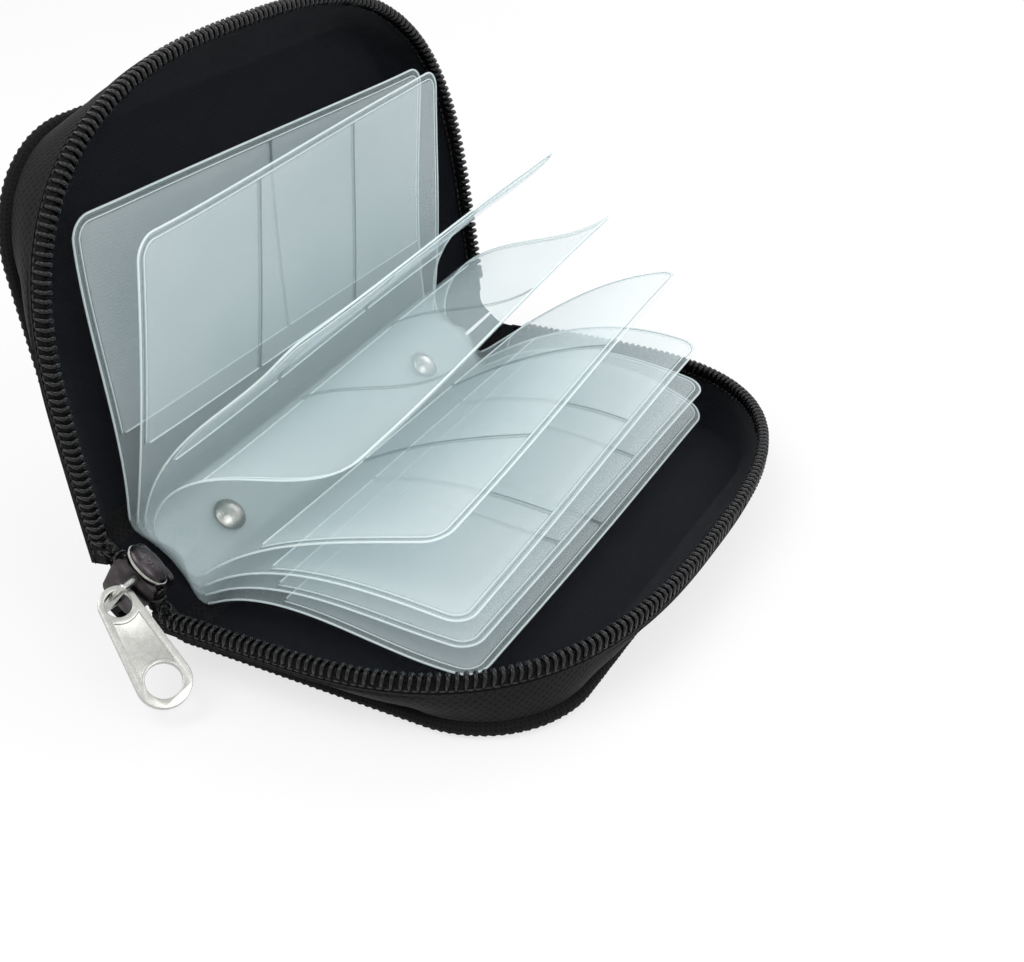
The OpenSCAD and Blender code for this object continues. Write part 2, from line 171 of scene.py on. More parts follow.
def grid_normals(grid: Grid) -> Grid:
    """Unit normals of a grid of points, from the points next to each one.

    Args:
        grid: Rows of points.

    Returns:
        The normals, in rows as the points are.
    """
    rows, columns = len(grid), len(grid[0])
    result = []
    for i in range(rows):
        line = []
        for j in range(columns):
            down = grid[min(i + 1, rows - 1)][j] - grid[max(i - 1, 0)][j]
            along = grid[i][min(j + 1, columns - 1)] - grid[i][max(j - 1, 0)]
            line.append(down.cross(along).normalized())
        result.append(line)
    return result


def grid_lengths(grid: Grid) -> list[tuple[float, float]]:
    """Place of each point of a grid on its cloth, in centimetres.

    Args:
        grid: Rows of points.

    Returns:
        Length along its row and down its column, for each point.
    """
    mid = len(grid[0]) // 2
    downs = [0.0]
    for above, below in zip(grid, grid[1:]):
        downs.append(downs[-1] + (below[mid] - above[mid]).length)
    uvs = []
    for row, down in zip(grid, downs):
        along = 0.0
        for j, point in enumerate(row):
            along += (point - row[j - 1]).length if j else 0.0
            uvs.append((along / 10, down / 10))
    return uvs


def thick_sheet(name: str, grid: Grid, under: float, over: float, finish: bpy.types.Material,
                sharp: float = 50.0) -> bpy.types.Object:
    """Makes a sheet of cloth or film with a closed edge from a grid of points.

    Args:
        name: Name of the piece.
        grid: Rows of points of the sheet's middle.
        under: Thickness below the points, against their normals.
        over: Thickness above the points, along their normals.
        finish: Material of the piece.
        sharp: Angle above which an edge stays sharp.

    Returns:
        The new object.
    """
    rows, columns = len(grid), len(grid[0])
    normals = grid_normals(grid)
    low = [grid[i][j] - normals[i][j] * under for i in range(rows) for j in range(columns)]
    high = [grid[i][j] + normals[i][j] * over for i in range(rows) for j in range(columns)]
    count = rows * columns
    faces = sheet_faces(rows, columns) + sheet_faces(rows, columns, count, turned=True)
    edge = [j for j in range(columns)]
    edge += [i * columns + columns - 1 for i in range(1, rows)]
    edge += [(rows - 1) * columns + j for j in range(columns - 2, -1, -1)]
    edge += [i * columns for i in range(rows - 2, 0, -1)]
    for here, there in zip(edge, edge[1:] + edge[:1]):
        faces.append((here, there, there + count, here + count))
    uvs = grid_lengths(grid)
    return new_piece(name, low + high, faces, finish, uvs + uvs, sharp)


def swept_ring(name: str, rings: Grid, finish: bpy.types.Material, sharp: float = 50.0) -> bpy.types.Object:
    """Makes a closed bar from rings of points with an even number of points in each.

    Args:
        name: Name of the piece.
        rings: Closed rings, the first half of each out and the second half back.
        finish: Material of the piece.
        sharp: Angle above which an edge stays sharp.

    Returns:
        The new object.
    """
    count = len(rings[0])
    points = [p for ring in rings for p in ring]
    faces = []
    for i in range(len(rings) - 1):
        for j in range(count):
            k = (j + 1) % count
            faces.append((i * count + j, i * count + k, (i + 1) * count + k, (i + 1) * count + j))
    for start, turned in ((0, False), ((len(rings) - 1) * count, True)):
        for j in range(count // 2 - 1):
            cap = (start + j, start + j + 1, start + count - 2 - j, start + count - 1 - j)
            faces.append(cap[::-1] if turned else cap)
    uvs = []
    along = 0.0
    for i, ring in enumerate(rings):
        along += (ring[0] - rings[i - 1][0]).length if i else 0.0
        around = 0.0
        for j, point in enumerate(ring):
            around += (point - ring[j - 1]).length if j else 0.0
            uvs.append((along / 10, around / 10))
    return new_piece(name, points, faces, finish, uvs, sharp)


def tube_rings(path: Sequence[Vector], radius: Callable[[float, float], float], sides: int) -> Grid:
    """Rings of a round cord along a path, turned as little as possible from one to the next.

    Args:
        path: Points of the cord's middle.
        radius: Radius at a length along the cord and an angle around it.
        sides: Number of points round the cord.

    Returns:
        The rings.
    """
    rings = []
    across = Vector((0, 0, 1))
    length = 0.0
    for i, point in enumerate(path):
        ahead = (path[min(i + 1, len(path) - 1)] - path[max(i - 1, 0)]).normalized()
        across = across - ahead * across.dot(ahead)
        if across.length < 1e-4:
            across = ahead.orthogonal()
        across.normalize()
        beside = ahead.cross(across)
        length += (point - path[i - 1]).length if i else 0.0
        ring = []
        for k in range(sides):
            angle = 2 * math.pi * k / sides
            outwards = across * math.cos(angle) + beside * math.sin(angle)
            ring.append(point + outwards * radius(length, angle))
        rings.append(ring)
    return rings


def join_pieces(name: str, parts: Sequence[bpy.types.Object]) -> bpy.types.Object:
    """Joins meshes into one piece that keeps their materials.

    Args:
        name: Name of the joined piece.
        parts: The meshes, of which the first stays.

    Returns:
        The joined piece.
    """
    with bpy.context.temp_override(active_object=parts[0], selected_editable_objects=list(parts)):
        bpy.ops.object.join()
    parts[0].name = name
    return parts[0]


def resample(path: Sequence[Vector], step: float) -> list[Vector]:
    """Points at even distances along a path.

    Args:
        path: Points of the path.
        step: Distance wanted between the new points.

    Returns:
        The new points, both ends included.
    """
    lengths = [0.0]
    for here, there in zip(path, path[1:]):
        lengths.append(lengths[-1] + (there - here).length)
    count = max(1, round(lengths[-1] / step))
    result = []
    k = 0
    for i in range(count + 1):
        at = lengths[-1] * i / count
        while k < len(path) - 2 and lengths[k + 1] < at:
            k += 1
        part = (at - lengths[k]) / max(1e-9, lengths[k + 1] - lengths[k])
        result.append(path[k].lerp(path[k + 1], part))
    return result


def ripple(point: Vector, size: float, seed: float = 0.0) -> float:
    """Soft random height at a point.

    Args:
        point: The point, in millimetres.
        size: Size of the ripples.
        seed: Shift between one set of ripples and another.

    Returns:
        A number from about -1 to 1.
    """
    return noise.noise(point / size + Vector((seed, seed * 1.7, -seed)))


# Materials


class NodeBuilder:
    """Builds the nodes of one material around its Principled shader."""

    def __init__(self, name: str) -> None:
        """Starts an empty material.

        Args:
            name: Name of the material.
        """
        self.material = bpy.data.materials.new(name)
        self.material.use_nodes = True
        self.tree = self.material.node_tree
        self.shader = self.tree.nodes["Principled BSDF"]
        self.coordinates = self.tree.nodes.new("ShaderNodeTexCoord")

    def add(self, kind: str, values: dict[str, object] | None = None, **settings: object) -> bpy.types.Node:
        """Adds a node.

        Args:
            kind: The node's type.
            values: Values of its inputs, by name.
            settings: Settings of the node itself.

        Returns:
            The node.
        """
        node = self.tree.nodes.new(kind)
        for key, value in settings.items():
            setattr(node, key, value)
        for key, value in (values or {}).items():
            node.inputs[key].default_value = value
        return node

    def link(self, source: bpy.types.NodeSocket, target: bpy.types.NodeSocket) -> None:
        """Links an output to an input."""
        self.tree.links.new(source, target)

    def noise(self, size: float, detail: float = 3.0,
              stretch: tuple[float, float, float] = (1, 1, 1)) -> bpy.types.Node:
        """Adds a noise texture on Object coordinates.

        Args:
            size: Size of the spots in millimetres.
            detail: How many finer layers it has.
            stretch: How much it is squeezed along each axis.

        Returns:
            The texture node.
        """
        place = self.add("ShaderNodeMapping", {"Scale": stretch})
        texture = self.add("ShaderNodeTexNoise", {"Scale": 1 / (size * MM), "Detail": detail})
        self.link(self.coordinates.outputs["Object"], place.inputs["Vector"])
        self.link(place.outputs["Vector"], texture.inputs["Vector"])
        return texture

    def maths(self, operation: str, first: object, second: object) -> bpy.types.NodeSocket:
        """Adds a Math node.

        Args:
            operation: The node's operation.
            first: First input, a socket or a number.
            second: Second input, a socket or a number.

        Returns:
            The result's socket.
        """
        node = self.add("ShaderNodeMath", operation=operation)
        for socket, value in zip(node.inputs, (first, second)):
            if isinstance(value, bpy.types.NodeSocket):
                self.link(value, socket)
            else:
                socket.default_value = value
        return node.outputs[0]

    def mapped(self, source: bpy.types.NodeSocket, low: float, high: float,
               start: float = 0.0, end: float = 1.0) -> bpy.types.NodeSocket:
        """Adds a Map Range node.

        Args:
            source: The value to map.
            low: Result where the value is start.
            high: Result where the value is end.
            start: Lowest value.
            end: Highest value.

        Returns:
            The result's socket.
        """
        node = self.add("ShaderNodeMapRange",
                        {"From Min": start, "From Max": end, "To Min": low, "To Max": high})
        self.link(source, node.inputs["Value"])
        return node.outputs["Result"]

    def tint(self, source: bpy.types.NodeSocket, dark: Sequence[float], light: Sequence[float]) -> None:
        """Colours the shader between two colours.

        Args:
            source: Where it is dark, 0, and light, 1.
            dark: The first colour.
            light: The second colour.
        """
        mix = self.add("ShaderNodeMix", data_type="RGBA")
        mix.inputs["A"].default_value = (*dark, 1)
        mix.inputs["B"].default_value = (*light, 1)
        self.link(source, mix.inputs["Factor"])
        self.link(mix.outputs["Result"], self.shader.inputs["Base Color"])

    def bump(self, height: bpy.types.NodeSocket, depth: float, strength: float = 1.0) -> None:
        """Gives the shader a bump.

        Args:
            height: The height, from 0 to 1.
            depth: Depth of the relief in millimetres.
            strength: Share of it that shows.
        """
        node = self.add("ShaderNodeBump", {"Strength": strength, "Distance": depth * MM})
        self.link(height, node.inputs["Height"])
        self.link(node.outputs["Normal"], self.shader.inputs["Normal"])


@dataclass(frozen=True)
class ClothFinish:
    """Woven or knitted cloth: two sets of threads along the cloth, a fuzz, slow random changes of tone, and
    painted shade that darkens the hollows between threads and lightens their crests.
    """

    name: str
    dark: tuple[float, float, float]
    light: tuple[float, float, float]
    thread: float = 0.45
    relief: float = 0.12
    slant: float = 0.0
    fuzz: float = 0.5
    sheen: float = 0.25
    roughness: float = 0.85

    def build(self) -> bpy.types.Material:
        """Builds the material.

        Returns:
            The material.
        """
        n = NodeBuilder(self.name)
        turn = n.add("ShaderNodeMapping")
        turn.inputs["Rotation"].default_value = (0, 0, math.radians(self.slant))
        n.link(n.coordinates.outputs["UV"], turn.inputs["Vector"])
        threads = []
        for direction in ("X", "Y"):
            wave = n.add("ShaderNodeTexWave", {"Scale": 10 / self.thread / math.tau, "Distortion": 1.2,
                                               "Detail": 1.0, "Detail Scale": 2.0},
                         wave_type="BANDS", bands_direction=direction)
            n.link(turn.outputs["Vector"], wave.inputs["Vector"])
            threads.append(wave.outputs["Fac"])
        weave = n.maths("MAXIMUM", threads[0], threads[1])
        hair = n.noise(self.fuzz, 4.0)
        shade = n.noise(14.0, 2.0)
        height = n.maths("ADD", n.maths("MULTIPLY", weave, 0.6),
                         n.maths("MULTIPLY", hair.outputs["Fac"], 0.4))
        # Painted shade: the colour follows the weave's height, darker in the hollows between threads and
        # lighter on their crests, multiplied by a slow random tone.
        tone_and_weave_shade = n.maths("MULTIPLY", n.mapped(shade.outputs["Fac"], 0.75, 1.1, 0.3, 0.7),
                       n.mapped(height, 0.0, 1.0, 0.25, 0.8))
        n.tint(tone_and_weave_shade, self.dark, self.light)
        n.bump(height, self.relief)
        n.shader.inputs["Roughness"].default_value = self.roughness
        n.shader.inputs["Sheen Weight"].default_value = self.sheen
        n.shader.inputs["Sheen Roughness"].default_value = 0.5
        n.shader.inputs["Specular IOR Level"].default_value = 0.12
        return n.material


@dataclass(frozen=True)
class PlainFinish:
    """Moulded, cast or plated stuff: a slightly uneven colour and gloss, with a fine grain."""

    name: str
    dark: tuple[float, float, float]
    light: tuple[float, float, float]
    metallic: float = 0.0
    gloss: tuple[float, float] = (0.25, 0.4)
    grain: float = 0.8
    relief: float = 0.01
    stretch: tuple[float, float, float] = (1, 1, 1)
    specular: float = 0.5

    def build(self) -> bpy.types.Material:
        """Builds the material.

        Returns:
            The material.
        """
        n = NodeBuilder(self.name)
        grain = n.noise(self.grain, 4.0, self.stretch)
        cloud = n.noise(self.grain * 7, 2.0)
        n.tint(n.mapped(cloud.outputs["Fac"], 0, 1, 0.3, 0.7), self.dark, self.light)
        roughness = n.mapped(grain.outputs["Fac"], self.gloss[0], self.gloss[1], 0.3, 0.7)
        n.link(roughness, n.shader.inputs["Roughness"])
        n.bump(grain.outputs["Fac"], self.relief)
        n.shader.inputs["Metallic"].default_value = self.metallic
        n.shader.inputs["Specular IOR Level"].default_value = self.specular
        return n.material


@dataclass(frozen=True)
class FilmFinish:
    """Frosted clear film: partly see-through, with a fine matt grain and faint clouding, and a faint pale
    blue painted glow that stands in for light passing through it from behind.
    """

    name: str
    dark: tuple[float, float, float]
    light: tuple[float, float, float]
    cover: float
    roughness: float = 0.35
    inner_light: float = 0.0

    def build(self) -> bpy.types.Material:
        """Builds the material.

        Returns:
            The material.
        """
        n = NodeBuilder(self.name)
        cloud = n.noise(22.0, 2.0)
        grain = n.noise(0.6, 3.0)
        n.tint(n.mapped(cloud.outputs["Fac"], 0, 1, 0.3, 0.7), self.dark, self.light)
        n.bump(grain.outputs["Fac"], 0.012, 0.5)
        n.shader.inputs["Roughness"].default_value = self.roughness
        n.shader.inputs["Alpha"].default_value = self.cover
        # Painted light: a faint pale blue emission stands in for the light that passes through the frosted
        # film from behind; the film gives no light of its own.
        n.shader.inputs["Emission Color"].default_value = (0.78, 0.92, 0.96, 1)
        n.shader.inputs["Emission Strength"].default_value = self.inner_light
        n.shader.inputs["IOR"].default_value = 1.45
        return n.material


class Finishes:
    """All materials of the case, built once."""

    def __init__(self) -> None:
        """Builds the materials."""
        self.shell = ClothFinish("shell_weave", (0.0025, 0.0025, 0.003), (0.010, 0.010, 0.011), 0.5, 0.1,
                                 slant=45, fuzz=0.35, sheen=0.06).build()
        self.lining = ClothFinish("lining_knit", (0.003, 0.0035, 0.005), (0.0075, 0.0085, 0.012), 0.32, 0.05,
                                  fuzz=0.3, sheen=0.05, roughness=0.92).build()
        self.tape = ClothFinish("tape_weave", (0.0025, 0.0025, 0.003), (0.009, 0.009, 0.0095), 0.6, 0.1,
                                slant=30, sheen=0.04).build()
        self.piping = ClothFinish("piping_weave", (0.0025, 0.0025, 0.003), (0.008, 0.008, 0.009), 0.4, 0.1,
                                  sheen=0.05).build()
        self.thread = PlainFinish("sewing_thread", (0.012, 0.012, 0.013), (0.035, 0.035, 0.038),
                                  gloss=(0.45, 0.6), grain=0.2, specular=0.2).build()
        self.coil = PlainFinish("coil_nylon", (0.002, 0.002, 0.0025), (0.005, 0.005, 0.006),
                                gloss=(0.22, 0.34), grain=0.5, specular=0.3).build()
        self.nickel = PlainFinish("bright_nickel", (0.42, 0.425, 0.40), (0.5, 0.505, 0.48), metallic=1.0,
                                  gloss=(0.24, 0.32), grain=0.12, relief=0.0005).build()
        self.gunmetal = PlainFinish("dark_nickel", (0.035, 0.03, 0.033), (0.085, 0.075, 0.08), metallic=1.0,
                                    gloss=(0.24, 0.4), grain=0.3, relief=0.0015).build()
        self.board = PlainFinish("grey_board", (0.10, 0.09, 0.08), (0.16, 0.15, 0.13),
                                 gloss=(0.8, 0.95), grain=0.6, relief=0.05).build()
        # The last number of each film is its painted glow, an emission standing in for light passing through
        # the film.
        self.page = FilmFinish("page_film", (0.74, 0.86, 0.875), (0.80, 0.90, 0.915),
                               0.15, 0.4, 0.06).build()
        self.pocket = FilmFinish("pocket_film", (0.79, 0.89, 0.915), (0.85, 0.93, 0.95),
                                 0.16, 0.45, 0.07).build()
        # Painted highlight: the edge finish is paler, more opaque and glows more than the film, standing in
        # for the light that the film's edges, weld ridges and pocket lips catch.
        self.edge = FilmFinish("film_edge", (0.84, 0.94, 0.95), (0.92, 0.98, 0.98), 0.5, 0.18, 0.1).build()
        # Painted shade: dark lines laid on the film along the weld grooves and the pocket dividers, where
        # shade falls in the grooves.
        self.crease = FilmFinish("film_crease", (0.14, 0.19, 0.20), (0.2, 0.26, 0.27), 0.3, 0.3).build()


# Repeats along a path, made by Geometry Nodes


@dataclass
class PathRepeat:
    """Sets copies of a small mesh along a path, with their z axis held towards one side."""

    pitch: float
    up: Vector
    jitter: float = 0.0
    seed: int = 7

    def tree(self, finish: bpy.types.Material) -> tuple[bpy.types.NodeTree, dict[str, str]]:
        """Builds the node tree.

        Args:
            finish: Material of the copies.

        Returns:
            The tree, and the identifiers of its inputs by name.
        """
        tree = bpy.data.node_groups.new("repeat_along_path", "GeometryNodeTree")
        sides = tree.interface
        names = {}
        for name, kind in (("Geometry", "NodeSocketGeometry"), ("Pitch", "NodeSocketFloat"),
                           ("Up", "NodeSocketVector"), ("Jitter", "NodeSocketFloat"),
                           ("Seed", "NodeSocketInt"), ("Piece", "NodeSocketObject")):
            names[name] = sides.new_socket(name, in_out="INPUT", socket_type=kind).identifier
        sides.new_socket("Geometry", in_out="OUTPUT", socket_type="NodeSocketGeometry")
        add = tree.nodes.new
        link = tree.links.new
        inputs, outputs = add("NodeGroupInput"), add("NodeGroupOutput")
        curve = add("GeometryNodeMeshToCurve")
        points = add("GeometryNodeCurveToPoints")
        points.mode = "LENGTH"
        along = add("FunctionNodeAlignRotationToVector")
        along.axis = "X"
        upright = add("FunctionNodeAlignRotationToVector")
        upright.axis, upright.pivot_axis = "Z", "X"
        info = add("GeometryNodeObjectInfo")
        place = add("GeometryNodeInstanceOnPoints")
        wobble = add("FunctionNodeRandomValue")
        wobble.data_type = "FLOAT_VECTOR"
        wobble.inputs["Min"].default_value = (-1, -1, -1)
        scale = add("ShaderNodeVectorMath")
        scale.operation = "SCALE"
        turn = add("FunctionNodeRotateRotation")
        turn.rotation_space = "LOCAL"
        realize = add("GeometryNodeRealizeInstances")
        paint = add("GeometryNodeSetMaterial")
        paint.inputs["Material"].default_value = finish
        link(inputs.outputs["Geometry"], curve.inputs["Mesh"])
        link(curve.outputs["Curve"], points.inputs["Curve"])
        link(inputs.outputs["Pitch"], points.inputs["Length"])
        link(points.outputs["Tangent"], along.inputs["Vector"])
        link(along.outputs["Rotation"], upright.inputs["Rotation"])
        link(inputs.outputs["Up"], upright.inputs["Vector"])
        link(inputs.outputs["Seed"], wobble.inputs["Seed"])
        link(wobble.outputs["Value"], scale.inputs[0])
        link(inputs.outputs["Jitter"], scale.inputs["Scale"])
        link(upright.outputs["Rotation"], turn.inputs["Rotation"])
        link(scale.outputs["Vector"], turn.inputs["Rotate By"])
        link(inputs.outputs["Piece"], info.inputs["Object"])
        link(points.outputs["Points"], place.inputs["Points"])
        link(info.outputs["Geometry"], place.inputs["Instance"])
        link(turn.outputs["Rotation"], place.inputs["Rotation"])
        link(place.outputs["Instances"], realize.inputs["Geometry"])
        link(realize.outputs["Geometry"], paint.inputs["Geometry"])
        link(paint.outputs["Geometry"], outputs.inputs["Geometry"])
        return tree, names

    def build(self, name: str, path: Sequence[Vector], piece: bpy.types.Object,
              finish: bpy.types.Material) -> bpy.types.Object:
        """Makes the repeats as one plain mesh.

        Args:
            name: Name of the new piece.
            path: Points that the copies follow.
            piece: The mesh that is repeated, its x axis along the path.
            finish: Material of the copies.

        Returns:
            The new object.
        """
        tree, names = self.tree(finish)
        mesh = bpy.data.meshes.new(name)
        mesh.from_pydata([p * MM for p in path], [(i, i + 1) for i in range(len(path) - 1)], [])
        carrier = bpy.data.objects.new(name + "_path", mesh)
        bpy.context.scene.collection.objects.link(carrier)
        modifier = carrier.modifiers.new("repeat", "NODES")
        modifier.node_group = tree
        modifier[names["Pitch"]] = self.pitch * MM
        modifier[names["Up"]] = tuple(self.up)
        modifier[names["Jitter"]] = self.jitter
        modifier[names["Seed"]] = self.seed
        modifier[names["Piece"]] = piece
        graph = bpy.context.evaluated_depsgraph_get()
        made = bpy.data.meshes.new_from_object(carrier.evaluated_get(graph))
        bpy.data.objects.remove(carrier)
        made.shade_smooth()
        result = bpy.data.objects.new(name, made)
        bpy.context.scene.collection.objects.link(result)
        return result


def drop(piece: bpy.types.Object) -> None:
    """Removes an object that was only needed for making others."""
    bpy.data.objects.remove(piece)


# The case


@dataclass(frozen=True)
class CaseShape:
    """Sizes of the case, and the places on its halves and spine."""

    case_len: float = 114.0
    case_depth: float = 68.0
    corner_r: float = 20.0
    panel_t: float = 3.0
    rim_h: float = 12.5
    rim_slope: float = 1.5
    flare_end: float = 6.0
    flare_side: float = 6.0
    open_angle: float = 100.0
    rim_power: float = 2.75
    rim_mid_share: float = 0.31
    rim_draw_in: float = 0.3
    piping_d: float = 2.8
    tape_w: float = 5.0

    @property
    def hinge(self) -> Vector:
        """Place of the back half's hinge line, in x and z."""
        return Vector((-self.case_depth / 2, self.panel_t / 2))

    @property
    def spine_w(self) -> float:
        """Distance between the two hinge lines."""
        return 2 * self.rim_h - self.panel_t

    @property
    def spine_angle(self) -> float:
        """Direction of the spine above the back half, in radians."""
        return math.radians(90 + self.open_angle / 2)

    @property
    def half_len(self) -> float:
        """Half the length of a half along the spine."""
        return self.case_len / 2

    @property
    def rim_mid(self) -> float:
        """Distance from the hinge at which the rim starts to round in."""
        return (self.case_depth + self.flare_side) * self.rim_mid_share

    def spine(self, a: float, y: float, b: float) -> Vector:
        """Point of the spine.

        Args:
            a: Distance from the back half's hinge line.
            y: Place along the spine.
            b: Distance inwards from the spine's middle plane.

        Returns:
            The point in the frame.
        """
        c, s = math.cos(self.spine_angle), math.sin(self.spine_angle)
        return Vector((self.hinge.x + a * c + b * s, y, self.hinge.y + a * s - b * c))

    def half(self, half: Half, s: float, y: float, z: float) -> Vector:
        """Point of a half.

        Args:
            half: Which half.
            s: Distance from the half's hinge line.
            y: Place along the spine.
            z: Height above the half's outer face.

        Returns:
            The point in the frame.
        """
        if half is Half.BACK:
            return Vector((self.hinge.x + s, y, z))
        start = self.spine(self.spine_w, y, 0)
        turn = math.radians(self.open_angle)
        up = z - self.panel_t / 2
        return start + Vector((s * math.cos(turn) + up * math.sin(turn), 0,
                               s * math.sin(turn) - up * math.cos(turn)))

    def half_up(self, half: Half) -> Vector:
        """Inward normal of a half's panel."""
        return (self.half(half, 0, 0, 1) - self.half(half, 0, 0, 0)).normalized()

    def rim_height(self, s: float) -> float:
        """Height of the zip rim at a distance from the hinge."""
        return self.rim_h + s * math.tan(math.radians(self.rim_slope))

    def inside_rim(self, s: float, y: float) -> bool:
        """Whether a place lies inside the rim's outline."""
        half = self.half_len + self.flare_end
        if s <= self.rim_mid:
            return abs(y) < half - self.rim_draw_in * ((self.rim_mid - s) / self.rim_mid) ** 2
        depth = self.case_depth + self.flare_side - self.rim_mid
        return ((s - self.rim_mid) / depth) ** self.rim_power + (abs(y) / half) ** self.rim_power < 1

    def rim_reach(self, core: Vector, out: Vector) -> float:
        """Distance from a core point to the rim along a direction.

        Args:
            core: The start, as s and y.
            out: Unit direction, as s and y.

        Returns:
            The distance.
        """
        low, high = 0.0, 60.0
        for _ in range(30):
            middle = (low + high) / 2
            p = core + out * middle
            if self.inside_rim(p.x, p.y):
                low = middle
            else:
                high = middle
        return low

    def edge_places(self, start: float, step: float) -> list[tuple[Vector, Vector]]:
        """Places round a half's edge, from the spine's near end to its far end.

        Args:
            start: Distance from the hinge at which the places start.
            step: Distance wanted between places.

        Returns:
            A core point and an outward direction, both as s and y, for each place.
        """
        deep, long = self.case_depth - self.corner_r, self.half_len - self.corner_r
        side_count = max(2, round((deep - start) / step))
        turn_count = max(4, round(self.corner_r * math.pi / 2 / step))
        end_count = max(2, round(2 * long / step))
        places = [(Vector((s, -long)), Vector((0, -1))) for s in spread(start, deep, side_count + 1)[:-1]]
        for angle in spread(-math.pi / 2, 0, turn_count + 1)[:-1]:
            places.append((Vector((deep, -long)), Vector((math.cos(angle), math.sin(angle)))))
        places += [(Vector((deep, y)), Vector((1, 0))) for y in spread(-long, long, end_count + 1)]
        for angle in spread(0, math.pi / 2, turn_count + 1)[1:]:
            places.append((Vector((deep, long)), Vector((math.cos(angle), math.sin(angle)))))
        places += [(Vector((s, long)), Vector((0, 1))) for s in spread(deep, start, side_count + 1)[1:]]
        return places

    def outline(self, half: Half, inset: float, z: float, start: float, step: float) -> list[Vector]:
        """Path round a half's edge.

        Args:
            half: Which half.
            inset: Distance inside the outline.
            z: Height above the half's outer face.
            start: Distance from the hinge at which the path starts.
            step: Distance between points.

        Returns:
            Points in the frame.
        """
        path = []
        for core, out in self.edge_places(start, step):
            p = core + out * (self.corner_r - inset)
            path.append(self.half(half, p.x, p.y, z))
        return path

    def rim(self, half: Half, start: float, step: float, drop_by: float = 0.0,
            shift: float = 0.0) -> list[Vector]:
        """Path along the zip rim.

        Args:
            half: Which half.
            start: Distance from the hinge at which the path starts.
            step: Distance between points.
            drop_by: How far below the rim's top the path lies.
            shift: How far outside the rim's middle it lies.

        Returns:
            Points in the frame, evenly spaced.
        """
        path = []
        for core, out in self.edge_places(start, 1.5):
            p = core + out * (self.rim_reach(core, out) + shift)
            path.append(self.half(half, p.x, p.y, self.rim_height(p.x) - drop_by))
        return resample(path, step)

    def half_width(self, s: float, inset: float) -> float:
        """Half the length of a half's outline at a distance from the hinge."""
        r = self.corner_r - inset
        past = s - (self.case_depth - self.corner_r)
        if past <= 0:
            return self.half_len - inset
        return self.half_len - self.corner_r + math.sqrt(max(0.0, r * r - past * past))


